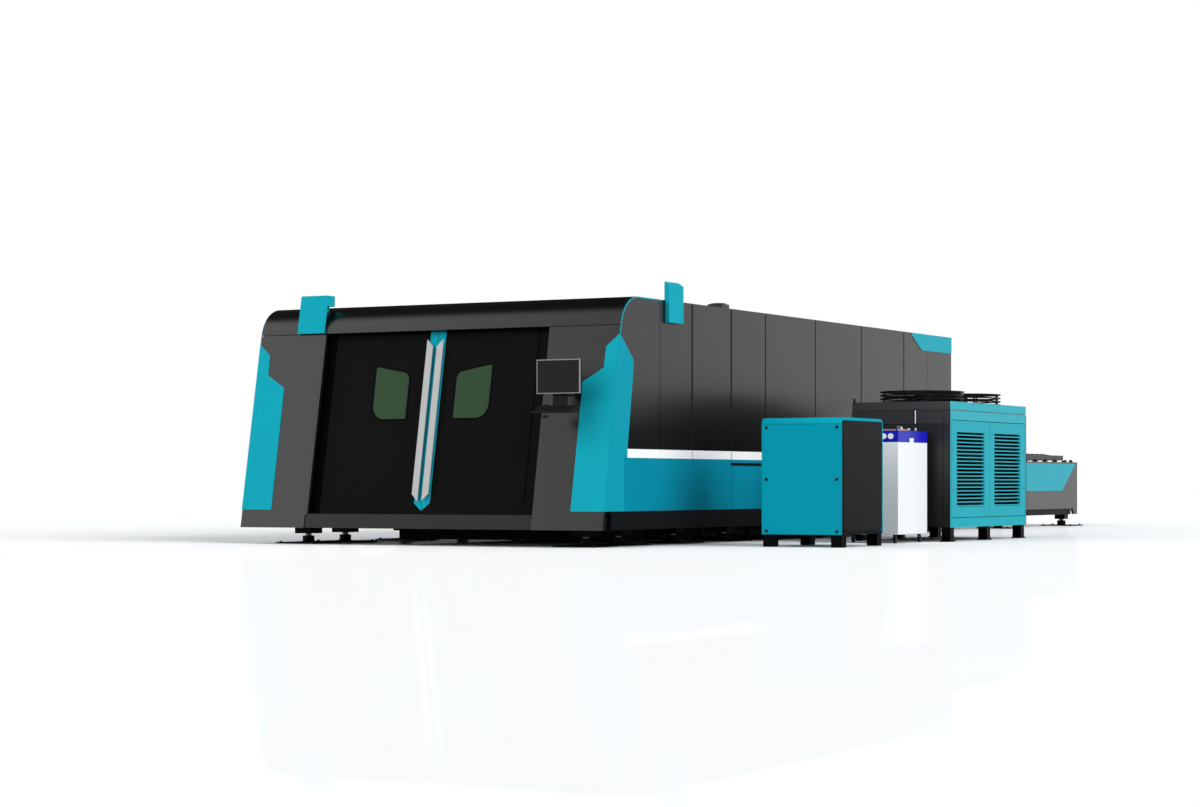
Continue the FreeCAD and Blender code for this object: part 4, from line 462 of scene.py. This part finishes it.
# A darker copy of the teal for the lower side panels: painted shade.
shaded_panel_teal = finish_of("shaded_panel_teal", "0487A0", 0.5, 0.03, mottle=0.02)
dress(shaded_panel_teal, "lower_side_panels")
# The trims' side face is painted a darker teal, as painted shade, and their far end a lighter one, as painted
# light.
shaded_side_x = at(0.0, 0.0, 0.0).x
lit_end_y = at(0.0, 7.0, 0.0).y
trim_teal = finish_of("trim_teal", "13A3B5", 0.5, 0.04, mottle=0.02,
                      bands=(("X", shaded_side_x - 0.0008, shaded_side_x + 0.02, "0F98AC"),
                             ("Y", lit_end_y, lit_end_y + 3.0, "2EA6B6")))
dress(trim_teal, "teal_trims")
# A lighter copy of the teal for the table bands at the far end: painted light.
lit_table_teal = finish_of("lit_table_teal", "3CA8B8", 0.5, 0.06, mottle=0.02)
dress(lit_table_teal, "table_bands")
dress(teal_coat, "sign_boxes", "grip_plate_left", "grip_plate_right")
soften(0.008, "sign_boxes")
soften(0.0015, "teal_trims", "front_sill")
lamp_cover = finish_of("lamp_cover", "FFFFFF", 0.4, 0.4, mottle=0.01)
dress(lamp_cover, "lamp_strips", "source_lamps")
wide_joints = (1.82, 2.71)
narrow_joints = (3.53, 4.81, 6.08, 7.35)
lamp_foot, lamp_top, cap_width = 0.857, 0.934, 0.012
caps = [block("cap", at(0.0005, y, lamp_foot), at(0.0045, y + cap_width, lamp_top), 0.001)
        for y in wide_joints + narrow_joints[:1]]
joint_grey = finish_of("joint_grey", "DCDEE0", 0.4, 0.3, mottle=0.02)
finished(joined("lamp_joints", *caps), joint_grey, "machine")
wall_foot, wall_top = 0.944, 2.385
strips = [block("strip", at(-0.003, y - half, wall_foot), at(0.0012, y + half, wall_top), 0.0008)
          for joints, half in ((wide_joints, 0.017), (narrow_joints, 0.012)) for y in joints]
finished(joined("wall_seals", *strips), frame_black, "machine")
slot = block("hatch_slot", at(-0.0008, 2.69, 0.795), at(0.0022, 4.56, 0.820), 0.0006)
finished(slot, frame_black, "machine")
port_x, port_y = -0.295, 3.005
port_line = [(0.055, 2.468), (0.055, 2.478), (0.062, 2.482), (0.078, 2.482), (0.082, 2.478), (0.082, 2.468)]
port_ring = turned_to(turned("port_ring", port_line, 28), at(port_x, port_y, 0.0))
finished(port_ring, hood_coat, "machine")
pan_line = [(0.0, 0.0028), (0.0035, 0.0028), (0.0038, 0.005), (0.0075, 0.0042), (0.0098, 0.002),
            (0.010, 0.0), (0.0, 0.0)]
port_top, port_screw = 2.47, 0.07
spots = [at(port_x + port_screw * a, port_y + port_screw * b, port_top) for a in (-1, 1) for b in (-1, 1)]
hatch_x, hatch_y, hatch_top = -4.075, 1.4, 2.414
spots += [at(hatch_x + a, hatch_y + b, hatch_top) for a in (0.02, 0.3) for b in (0.02, 0.14)]
pan_head = turned("pan_head", pan_line, 14)
finished(repeated("roof_screws", pan_head, spots), bolt_black, "machine")
pull_left, pull_length, leg_width = hatch_x + 0.1, 0.12, 0.012
pull = block("pull", at(pull_left, hatch_y + 0.07, hatch_top + 0.016),
             at(pull_left + pull_length, hatch_y + 0.09, hatch_top + 0.026), 0.004)
leg_foot, leg_top = (hatch_y + 0.072, hatch_top), (hatch_y + 0.088, hatch_top + 0.02)
legs = [block("leg", at(x, *leg_foot), at(x + leg_width, *leg_top), 0.002)
        for x in (pull_left, pull_left + pull_length - leg_width)]
finished(joined("hatch_pull", pull, *legs), bolt_black, "machine")
flange_line = [(0.0, 0.0), (0.017, 0.0), (0.015, 0.003), (0.0, 0.003)]
flange_head = bolt_head("flange_head", 0.011, 0.008, flange_line)
spots = [at(-0.15 - 0.43 * i, cell_length, z) for i in range(10) for z in (1.30, 2.28)]
spots += [at(x, cell_length, z) for x in (-0.15, -4.02) for z in (0.45, 0.86)]
finished(repeated("rear_wall_bolts", flange_head, spots, (0, 1, 0)), bolt_black, "machine")

# ---------------------------------------------------------------- sliding doors
# Two matt black steel leaves with tinted green panes in rubber gaskets, teal meeting plates and two
# canted aluminium grip bars. Rubber closes the gap between the plates. Black rubber strips in the pocket
# behind the left pillar and, as brushes, under the lintel stand in for the shade that falls there.
door_black = finish_of("door_black", "121212", 0.55, 0.02, mottle=0.04)
dress(door_black, "door_leaf_left", "door_leaf_right")
glass_green = finish_of("glass_green", "304730", 0.2, 0.08, mottle=0.02, peel=0.0)
dress(glass_green, "window_left", "window_right")
bar_grey = finish_of("bar_grey", "B4B4B4", 0.38, 0.3, mottle=0.02, grain=900.0, stretch=(1.0, 1.0, 0.05))
dress(bar_grey, "grip_bar_left", "grip_bar_right")
soften(0.003, "grip_bar_left", "grip_bar_right", "grip_plate_left", "grip_plate_right")
rubber = finish_of("rubber", "030303", 0.6, 0.05, mottle=0.15, cloud=12.0, peel=0.2)
lean = math.radians(10.6)
outward = Vector((0.0, -math.cos(lean), math.sin(lean)))
front_foot = 0.165
overhang = 0.045


def set_back(z):
    """How far the leaning front has gone back at a height."""
    return (z - front_foot) * math.tan(lean) - overhang


def leaning(name, x0, x1, z0, z1, near, deep):
    """A flat bar that leans with the front."""
    made = block(name, at(x0, near, z0), at(x1, deep, z1), 0.001)
    for corner in made.data.vertices:
        corner.co.y += set_back(corner.co.z)
    return made


def window_gasket(side):
    """A thin rubber frame, pulled outward from the front edge of a pane."""
    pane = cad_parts["window_" + side]
    ring = bpy.data.objects.new("window_gasket_" + side, pane.data.copy())
    bpy.context.scene.collection.objects.link(ring)
    pick(ring)
    bpy.ops.object.mode_set(mode="EDIT")
    bpy.ops.mesh.select_mode(type="FACE")
    bpy.ops.mesh.select_all(action="SELECT")
    bpy.ops.mesh.remove_doubles(threshold=0.0001)
    bpy.ops.mesh.select_all(action="DESELECT")
    bpy.ops.object.mode_set(mode="OBJECT")
    for face in ring.data.polygons:
        face.select = face.normal.dot(outward) < 0.9
    bpy.ops.object.mode_set(mode="EDIT")
    bpy.ops.mesh.delete(type="FACE")
    bpy.ops.mesh.select_all(action="SELECT")
    bpy.ops.mesh.dissolve_limited(angle_limit=0.001)
    bpy.ops.mesh.select_all(action="SELECT")
    bpy.ops.mesh.delete(type="ONLY_FACE")
    bpy.ops.mesh.select_mode(type="EDGE")
    bpy.ops.mesh.select_all(action="SELECT")
    bpy.ops.mesh.extrude_edges_move()
    low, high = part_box("window_" + side)
    spread = 0.032
    wider = 1.0 + spread / (high.x - low.x)
    taller = 1.0 + spread / (high.z - low.z)
    middle = (low + high) / 2 + outward * 0.003
    bpy.ops.transform.resize(value=(wider, taller, taller), center_override=middle)
    bpy.ops.mesh.select_all(action="SELECT")
    bpy.ops.transform.translate(value=outward * 0.0037)
    bpy.ops.object.mode_set(mode="OBJECT")
    thick = ring.modifiers.new("thick", "SOLIDIFY")
    thick.thickness = 0.003
    thick.offset = 0.0
    bpy.ops.object.modifier_apply(modifier="thick")
    bpy.ops.object.mode_set(mode="EDIT")
    bpy.ops.mesh.select_mode(type="VERT")
    bpy.ops.mesh.select_all(action="SELECT")
    bpy.ops.mesh.normals_make_consistent(inside=False)
    bpy.ops.object.mode_set(mode="OBJECT")
    return ring


for side in ("left", "right"):
    finished(window_gasket(side), rubber, side + "_door")
low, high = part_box("grip_plate_left")
strip = leaning("meeting_seal", high.x - 0.008, high.x - 0.0002, low.z + 0.06, high.z - 0.002, 0.0838, 0.0851)
finished(strip, rubber, "left_door")
way_foot, way_top = 0.295, 2.105
lip = leaning("pillar_lip", -3.401, -3.373, way_foot, way_top, 0.0005, 0.0395)
finished(lip, grey_coat, "machine")
# A black rubber strip in the pocket behind the left pillar stands in for the shade that falls there.
pocket_shade = leaning("pocket_shade_strip", -3.42, -3.298, way_foot, way_top, 0.078, 0.090)
finished(pocket_shade, rubber, "machine")
leaf_width = 1.222
# Black rubber brushes under the lintel stand in for the shade under the hood.
for side, x0 in (("left", -3.40), ("right", -1.997)):
    lintel_shade = leaning("lintel_shade_strip_" + side, x0, x0 + leaf_width, 2.088, 2.1165, 0.0932, 0.0951)
    finished(lintel_shade, rubber, side + "_door")

# ---------------------------------------------------------------- operator console
# Monitor with a silver bezel and a dark satin screen, a sloping tray with a keyboard, a black post
# with clamp knobs on a bolted swivel, and four push buttons in black collars on the pillar.
console_black = finish_of("console_black", "191919", 0.5, 0.15)
dress(console_black, "console_arm", "keyboard_tray")
low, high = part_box("monitor")
silver = finish_of("silver", "8E8E8E", 0.42, 0.2, mottle=0.02, grain=900.0,
                   bands=(("Y", low.y + 0.014, high.y + 0.1, "0E0E0F"),))
dress(silver, "monitor")
soften(0.0025, "monitor", "console_arm")
button_black = finish_of("button_black", "060606", 0.35, 0.3)
dress(button_black, "push_button_1", "push_button_2", "push_button_3", "push_button_4")
screen_dark = finish_of("screen_dark", "171717", 0.3, 0.15, mottle=0.02, peel=0.0)
front_face = low.y
bezel = 0.009
glass = block("screen_glass", (low.x + bezel, front_face - 0.0003, low.z + bezel),
              (high.x - bezel, front_face + 0.0042, high.z - bezel), 0.0006)
finished(glass, screen_dark, "screen")
vent_pitch, vent_width = 0.012, 0.005
first_vent = low.x + 0.10
vents = [block("vent", (first_vent + vent_pitch * i, front_face + 0.0395, high.z - 0.09),
               (first_vent + vent_pitch * i + vent_width, front_face + 0.0425, high.z - 0.03), 0.001)
         for i in range(22)]
finished(joined("screen_vents", *vents), console_black, "screen")
tray_rise, tray_run = 0.058, 0.150
slope = math.atan2(tray_rise, tray_run)
key_half, key_height = 0.0085, 0.0052
key = block("key", (-key_half, -key_half, 0.0), (key_half, key_half, key_height), 0.0012, 1)
low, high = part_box("keyboard_tray")
middle = (low.x + high.x) / 2
tilt = Matrix.Rotation(slope, 4, "X")
rows, columns = 5, 19
first_row, row_step, key_step = 0.0295, 0.0205, 0.019
tray_skin = 1.2779
board = []
for row in range(rows):
    along = first_row + row_step * row
    height = tray_skin + along * math.tan(slope)
    for column in range(columns):
        across = middle + key_step * (column - (columns - 1) / 2)
        cap = copy_of(key)
        cap.matrix_world = Matrix.Translation((across, low.y + along, height)) @ tilt
        board.append(cap)
bpy.data.objects.remove(key)
board = joined("keyboard_keys", *board)
bpy.ops.object.transform_apply(location=True, rotation=True, scale=True)
key_black = finish_of("key_black", "101010", 0.5, 0.3, mottle=0.1, cloud=20.0)
finished(board, key_black, "tray")
knob_line = [(0.0, 0.03), (0.010, 0.03), (0.019, 0.026), (0.021, 0.014), (0.019, 0.004), (0.012, 0.0),
             (0.0, 0.0)]
post_x = -0.430
for number, height in ((1, 1.300), (2, 1.613)):
    knob = turned("clamp_knob_%d" % number, knob_line)
    turned_to(knob, at(post_x + 0.0935, -0.080, height), (1, 0, 0))
    finished(knob, button_black, "console")
cap = bolt_head("swivel_cap", 0.016, 0.010, [(0.0, 0.0), (0.024, 0.0), (0.022, 0.004), (0.0, 0.004)], 18)
finished(turned_to(cap, at(post_x, 0.130, 1.5683)), zinc, "console")
collar_line = [(0.0125, 0.0), (0.0125, 0.004), (0.0135, 0.0048), (0.0155, 0.004), (0.0165, 0.0)]
for number in (1, 2, 3, 4):
    low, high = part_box("push_button_%d" % number)
    centre = (low + high) / 2
    skin_y = at(0.0, set_back(centre.z), 0.0).y
    collar = turned("button_collar_%d" % number, collar_line, 20)
    turned_to(collar, (centre.x, skin_y, centre.z), outward)
    finished(collar, button_black, "machine")

# ---------------------------------------------------------------- cutting axes
# White-painted portal with teal end covers and two black servo motors, and a white cross slide under a
# screwed teal cover, which carries the alloy head with its lens rings and brass nozzle collar.
machined = finish_of("machined", "A9ABAD", 0.34, 0.5, metal=1.0, stretch=(1.0, 14.0, 1.0))
dress(machined, "door_track")
alloy = finish_of("alloy", "B9BBBD", 0.4, 0.5, metal=1.0, mottle=0.03)
dress(alloy, "cutting_head")
portal_white = finish_of("portal_white", "C8CACA", 0.4, 0.3, mottle=0.02)
dress(portal_white, "gantry", "cross_carriage")
low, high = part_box("gantry")
motor_line = [(0.0, 0.0), (0.052, 0.0), (0.055, 0.003), (0.055, 0.018), (0.045, 0.022), (0.045, 0.13),
              (0.040, 0.137), (0.030, 0.14), (0.030, 0.165), (0.026, 0.168), (0.0, 0.168)]
motors = []
motor_in, motor_foot, motor_down = 0.16, high.y - 0.1502, 0.18
for x in (low.x + motor_in, high.x - motor_in):
    motor = turned("motor", motor_line)
    motors.append(turned_to(motor, (x, motor_foot, high.z - motor_down), (0, 1, 0)))
finished(joined("gantry_motors", *motors), button_black, "gantry_axis")
covers = [block("cover", (x0, low.y + 0.16, high.z - 0.352),
                (x0 + 0.005, high.y - 0.16, high.z - 0.008), 0.0015)
          for x0 in (low.x - 0.0052, high.x + 0.0002)]
finished(joined("gantry_end_covers", *covers), teal_coat, "gantry_axis")
low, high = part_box("cross_carriage")
cover_face = low.y - 0.0045
cover = block("carriage_cover", (low.x + 0.02, cover_face, low.z + 0.03),
              (high.x - 0.02, low.y - 0.0002, high.z - 0.03), 0.0015)
finished(cover, teal_coat, "carriage_axis")
spots = [(x, cover_face, z) for x in (low.x + 0.04, high.x - 0.04) for z in (low.z + 0.05, high.z - 0.05)]
pan_head = turned("pan_head", pan_line, 14)
finished(repeated("carriage_screws", pan_head, spots, (0, -1, 0)), bolt_black, "carriage_axis")
low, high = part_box("cutting_head")
brass = finish_of("brass", "B08A3C", 0.28, 0.5, metal=1.0, mottle=0.08, cloud=60.0)
head_foot = ((low.x + high.x) / 2, (low.y + high.y) / 2, low.z)
tip_line = [(0.0125, 0.012), (0.0125, 0.024), (0.0145, 0.026), (0.017, 0.024), (0.017, 0.014),
            (0.0145, 0.012), (0.0125, 0.012)]
tip = turned_to(turned("nozzle_collar", tip_line, 24), head_foot)
finished(tip, brass, "head_axis")
ring_line = [(0.0485, 0.16), (0.0525, 0.162), (0.0525, 0.172), (0.0485, 0.174), (0.0485, 0.2),
             (0.0525, 0.202), (0.0525, 0.212), (0.0485, 0.214)]
lens_ring = turned_to(turned("lens_rings", ring_line, 28), head_foot)
finished(lens_ring, button_black, "head_axis")

# ---------------------------------------------------------------- exchange table and pallets
# Welded table of grey sheet with a teal band on each side, black half-round rollers and rubber stops;
# toothed steel slats in the pallets, dark with heat and streaked along their length.
table_grey = finish_of("table_grey", "505050", 0.42, 0.5, mottle=0.03)
dress(table_grey, "table_sides")
pallet_steel = finish_of("pallet_steel", "454546", 0.5, 0.4, mottle=0.2, cloud=6.0, peel=0.25,
                         stretch=(0.2, 1.0, 1.0))
dress(pallet_steel, "outer_pallet", "inner_pallet")
stop_line = [(0.0, 0.034), (0.014, 0.033), (0.022, 0.024), (0.026, 0.008), (0.030, 0.006), (0.030, 0.0),
             (0.0, 0.0)]
stop = turned("stop", stop_line, 16)
spots = [at(x, y, 0.91) for x in (-0.52, -3.655) for y in (14.93, 9.1)]
finished(repeated("table_stops", stop, spots), rubber, "machine")
table_end = 15.16
flange_head = bolt_head("flange_head", 0.011, 0.008, flange_line)
spots = [at(-0.60 - 0.425 * i, table_end, z) for i in range(8) for z in (0.34, 0.85)]
finished(repeated("table_end_bolts", flange_head, spots, (0, 1, 0)), bolt_black, "machine")

# ---------------------------------------------------------------- electrical cabinet
# A shell of teal sheet folded round a black door on its right, fixed by pan-head screws, on four black
# square feet, with a cam lock in the door and pressed louvres in its left side.
low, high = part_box("cabinet_shell")
sheet_teal = "0697AD"
shell_teal = finish_of("shell_teal", sheet_teal, 0.5, 0.04, mottle=0.02,
                       bands=(("X", high.x - 0.0012, high.x + 0.001, "121212"),
                              ("Z", high.z - 0.03, high.z, sheet_teal),
                              ("Y", high.y - 0.02, high.y, sheet_teal),
                              ("Z", -0.01, 0.1199, "0A0A0B")))
dress(shell_teal, "cabinet_shell")
cabinet_black = finish_of("cabinet_black", "121212", 0.45, 0.06, mottle=0.03)
dress(cabinet_black, "cabinet_door")
soften(0.0015, "cabinet_shell", "cabinet_door")
screw_line = [(0.0, 0.003), (0.006, 0.003), (0.0062, 0.006), (0.011, 0.0055), (0.0155, 0.003), (0.016, 0.0),
              (0.0, 0.0)]
screw_columns = (low.x + 0.049, low.x + 0.785)
screw_rows = (1.142, 0.648, 0.152)
for face, y, way in (("front", low.y, -1), ("back", high.y, 1)):
    spots = [(x, y, z) for x in screw_columns for z in screw_rows]
    screws = repeated("cabinet_%s_screws" % face, turned("screw", screw_line, 16), spots, (0, way, 0))
    finished(screws, bolt_black, "machine")
seam = block("cabinet_seam", (low.x + 0.025, low.y - 0.0006, high.z - 0.066),
             (high.x - 0.025, low.y + 0.001, high.z - 0.061), 0.0004)
seam_teal = finish_of("seam_teal", "057387", 0.5, 0.04, mottle=0.02)
finished(seam, seam_teal, "machine")
slat_height, slat_pitch, first_slat = 0.014, 0.026, 0.30
slats = []
for i in range(9):
    foot = first_slat + slat_pitch * i
    slat = block("slat", (low.x - 0.006, low.y + 0.3, foot), (low.x, low.y + 0.69, foot + slat_height), 0.002)
    for corner in slat.data.vertices:
        if corner.co.x < low.x - 0.003 and corner.co.z > foot + slat_height / 2:
            corner.co.x = low.x - 0.0012
    slats.append(slat)
finished(joined("cabinet_louvres", *slats), shell_teal, "machine")
low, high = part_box("cabinet_door")
lock_line = [(0.0, 0.001), (0.003, 0.001), (0.0035, 0.003), (0.0078, 0.003), (0.0084, 0.002),
             (0.0084, -0.004), (0.0, -0.004)]
lock = turned("cabinet_lock", lock_line, 20)
turned_to(lock, (high.x - 0.002, (low.y + high.y) / 2, high.z - 0.026), (1, 0, 0))
finished(lock, bolt_black, "cabinet_leaf")

# ---------------------------------------------------------------- laser source
# White painted housing under a blue lid band, with two white lenses, a gold strip on the front of the
# lid, a row of plated unions with hexagon nuts, and four black swivel castors.
source_white = finish_of("source_white", "F4F7F8", 0.42, 0.3, mottle=0.01)
dress(source_white, "source_body")
low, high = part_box("source_cover")
band_top = 1.145
source_blue = finish_of("source_blue", "0E16B6", 0.35, 0.5, mottle=0.02,
                        bands=(("Z", band_top + 0.0005, band_top + 0.1, "B9BDC0"),))
dress(source_blue, "source_cover")
soften(0.004, "source_body")
soften(0.002, "source_cover", "source_lamps")
gold = finish_of("gold", "D99B0C", 0.4, 0.3, mottle=0.04, cloud=9.0)
strip_foot, strip_top = band_top + 0.0002, band_top + 0.012
strip = block("source_strip", (low.x + 0.004, low.y + 0.001, strip_foot),
              (high.x - 0.004, low.y + 0.030, strip_top), 0.002)
edge = block("edge", (high.x - 0.030, low.y + 0.001, strip_foot),
             (high.x - 0.001, low.y + 0.25, strip_top), 0.002)
finished(joined("source_strip", strip, edge), gold, "machine")
union_pitch, union_stagger = 0.098, 0.030
unions = [(high.x - 0.110 - union_stagger * (i % 2), low.y + 0.344 + union_pitch * i, band_top + 0.0003)
          for i in range(5)]
nut = hexagon("nut", 0.019, 0.012, 0.0118)
finished(repeated("union_nuts", nut, unions), zinc, "machine")
stem_line = [(0.0, -0.004), (0.0045, -0.004), (0.0045, 0.012), (0.006, 0.014), (0.006, 0.018),
             (0.0035, 0.021), (0.0, 0.022)]
stem = turned("stem", stem_line, 12)
spots = [(x - 0.034, y + 0.047, band_top + 0.004) for x, y, z in unions[:4]]
finished(repeated("bleed_stems", stem, spots), zinc, "machine")
tab = block("source_tab", at(1.6495, 3.475, 1.0272), at(1.6512, 3.585, 1.070), 0.0005)
finished(tab, source_white, "machine")
post_line = [(0.0, 0.0), (0.024, 0.0), (0.024, 0.006), (0.015, 0.010), (0.013, 0.022), (0.019, 0.026),
             (0.019, 0.036), (0.012, 0.042), (0.0, 0.042)]
post = turned("source_port", post_line, 20)
turned_to(post, (high.x - 0.055, low.y + 0.115, band_top + 0.0125))
finished(post, zinc, "machine")
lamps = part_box("source_lamps")
rim_line = [(0.0292, 0.0), (0.0292, 0.006), (0.0300, 0.0068), (0.0308, 0.006), (0.0312, 0.0)]
for number, x in enumerate((lamps[0].x + 0.029, lamps[1].x - 0.029), 1):
    rim = turned("lens_rim_%d" % number, rim_line, 28)
    turned_to(rim, (x, low.y, (lamps[0].z + lamps[1].z) / 2), (0, -1, 0))
    finished(rim, zinc, "machine")
socket_line = [(0.0, 0.002), (0.012, 0.002), (0.013, 0.012), (0.018, 0.012), (0.021, 0.006), (0.026, 0.005),
               (0.027, 0.0), (0.0, 0.0)]
socket_pitch, socket_height = 0.11, 0.32
spots = [(low.x + 0.12 + socket_pitch * i, high.y, socket_height) for i in range(4)]
sockets = repeated("source_sockets", turned("socket", socket_line, 18), spots, (0, 1, 0))
finished(sockets, button_black, "machine")
fork_black = finish_of("fork_black", "1A1A1B", 0.35, 0.4, mottle=0.08, cloud=30.0)
tyre_black = finish_of("tyre_black", "090909", 0.6, 0.2, mottle=0.1, cloud=40.0)
for corner in ("front_right", "front_left", "rear_right", "rear_left"):
    dress(fork_black, "castor_fork_" + corner)
    dress(tyre_black, "castor_wheel_" + corner)
    soften(0.0015, "castor_wheel_" + corner)
    low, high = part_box("castor_wheel_" + corner)
    hub = (low + high) / 2
    faces = []
    for side in (-1, 1):
        disc = turned("disc", [(0.0, 0.0022), (0.014, 0.0020), (0.019, 0.0010), (0.020, 0.0), (0.0, 0.0)], 18)
        faces.append(turned_to(disc, (hub.x + side * (high.x - low.x) / 2, hub.y, hub.z), (side, 0, 0)))
    finished(joined("castor_hub_" + corner, *faces), zinc, "wheel_" + corner)
    low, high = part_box("castor_fork_" + corner)
    nuts = [turned_to(hexagon("nut", 0.008, 0.005), (x, hub.y, hub.z), (side, 0, 0))
            for x, side in ((low.x, -1), (high.x, 1))]
    finished(joined("castor_nuts_" + corner, *nuts), zinc, "castor_" + corner)

# ---------------------------------------------------------------- chiller
# Black sheet cabinet with teal louvred doors and a teal right-hand side, a cap above a seam, corner
# posts, a sight glass on its front, black wire guards over two fans, lifting studs and brass pipe unions.
# The cap and the top row of front panels are painted paler, as painted light, and the black shines less
# towards the floor, as painted shade.
low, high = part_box("chiller_body")
cap_foot, cap_top, legs_top = 1.368, 1.463, 0.1465
# The cap band is painted paler, as painted light, and the black shines less towards the floor, as painted
# shade.
chiller_black = finish_of("chiller_black", "222121", 0.38, 0.6, mottle=0.02,
                          bands=(("Z", cap_foot + 0.0001, cap_top + 0.0021, "3A3939"),
                                 ("Z", -0.01, legs_top, "060606"),
                                 ("X", high.x - 0.0015, high.x + 0.001, "30AAB8")))
shade_by_height = ("Z", 0.25, 1.30, 0.05, 0.7)
shade_by_shine(chiller_black, "MULTIPLY", shade_by_height, ("X", high.x - 0.0018, high.x - 0.0012, 1.0, 0.1))
dress(chiller_black, "chiller_body")
louvre_teal = finish_of("louvre_teal", "2CA8B7", 0.5, 0.06, mottle=0.02)
dress(louvre_teal, "chiller_door_left", "chiller_door_right")
soften(0.002, "chiller_door_left", "chiller_door_right")
guard_black = finish_of("guard_black", "0C0C0D", 0.4, 0.25)
dress(guard_black, "chiller_fan_left", "chiller_fan_right", "fan_guards")
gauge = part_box("level_gauge")
sight = finish_of("sight_glass", "ECEFEF", 0.2, 0.4, mottle=0.01, peel=0.0,
                  bands=(("X", gauge[0].x - 0.001, gauge[0].x + 0.006, "0A0A0A"),
                         ("X", gauge[1].x - 0.006, gauge[1].x + 0.001, "0A0A0A")))
dress(sight, "level_gauge")
ends = [block("end", (gauge[0].x - 0.002, gauge[0].y - 0.003, z),
              (gauge[1].x + 0.002, gauge[1].y, z + 0.012), 0.002)
        for z in (gauge[0].z - 0.010, gauge[1].z - 0.002)]
finished(joined("gauge_ends", *ends), bolt_black, "machine")
skin_near, skin_far = 0.0001, 0.0022
post_foot, panel_foot, panel_top = 0.150, 0.160, cap_foot - 0.004
panel_left, panel_right = low.x + 0.079, high.x - 0.074
plates = []
for y0, y1 in ((low.y - skin_far, low.y - skin_near), (high.y + skin_near, high.y + skin_far)):
    plates.append(block("post", (high.x - 0.070, y0, post_foot), (high.x - 0.001, y1, panel_top), 0.0008))
    plates.append(block("post", (low.x + 0.001, y0, post_foot), (low.x + 0.075, y1, panel_top), 0.0008))
    plates.append(block("panel", (panel_left, y0, panel_foot), (panel_right, y1, 1.227), 0.0008))
for x0, x1 in ((panel_left, gauge[0].x - 0.005), (gauge[1].x + 0.005, panel_right)):
    plates.append(block("panel", (x0, low.y - skin_far, 1.231), (x1, low.y - skin_near, panel_top), 0.0008))
# The top row of panels is painted paler, as painted light, and shines less towards the floor, as painted
# shade.
skin_black = finish_of("chiller_skin", "222121", 0.38, 0.6, mottle=0.02,
                       bands=(("Z", 1.2305, 1.3645, "323131"),))
shade_by_shine(skin_black, "MULTIPLY", shade_by_height)
finished(joined("chiller_panels", *plates), skin_black, "machine")
eye_line = [(0.0, 0.0), (0.016, 0.0), (0.016, 0.006), (0.009, 0.009), (0.009, 0.028), (0.013, 0.034),
            (0.012, 0.040), (0.0, 0.042)]
eye = turned("eye", eye_line, 16)
spots = [(low.x + 0.022, y, cap_top) for y in (low.y + 0.022, high.y - 0.022)]
finished(repeated("lifting_studs", eye, spots), bolt_black, "machine")
union_line = [(0.0, 0.0), (0.040, 0.0), (0.040, 0.008), (0.028, 0.010), (0.028, 0.028), (0.034, 0.031),
              (0.034, 0.046), (0.022, 0.050), (0.020, 0.036), (0.0, 0.036)]
pipe = turned("pipe", union_line, 24)
spots = [(low.x, low.y + 0.35, z) for z in (0.40, 0.55)]
finished(repeated("pipe_unions", pipe, spots, (-1, 0, 0)), brass, "machine")
latch_line = [(0.0, 0.003), (0.004, 0.003), (0.0045, 0.006), (0.010, 0.006), (0.013, 0.003), (0.014, 0.0),
              (0.0, 0.0)]
for side in ("left", "right"):
    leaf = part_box("chiller_door_" + side)
    edge_y = leaf[1].y - 0.030 if side == "right" else leaf[0].y + 0.030
    spots = [(leaf[1].x, edge_y, z) for z in (0.55, 0.95)]
    latches = repeated("chiller_latches_" + side, turned("latch", latch_line, 18), spots, (1, 0, 0))
    finished(latches, zinc, "chiller_leaf_" + side)
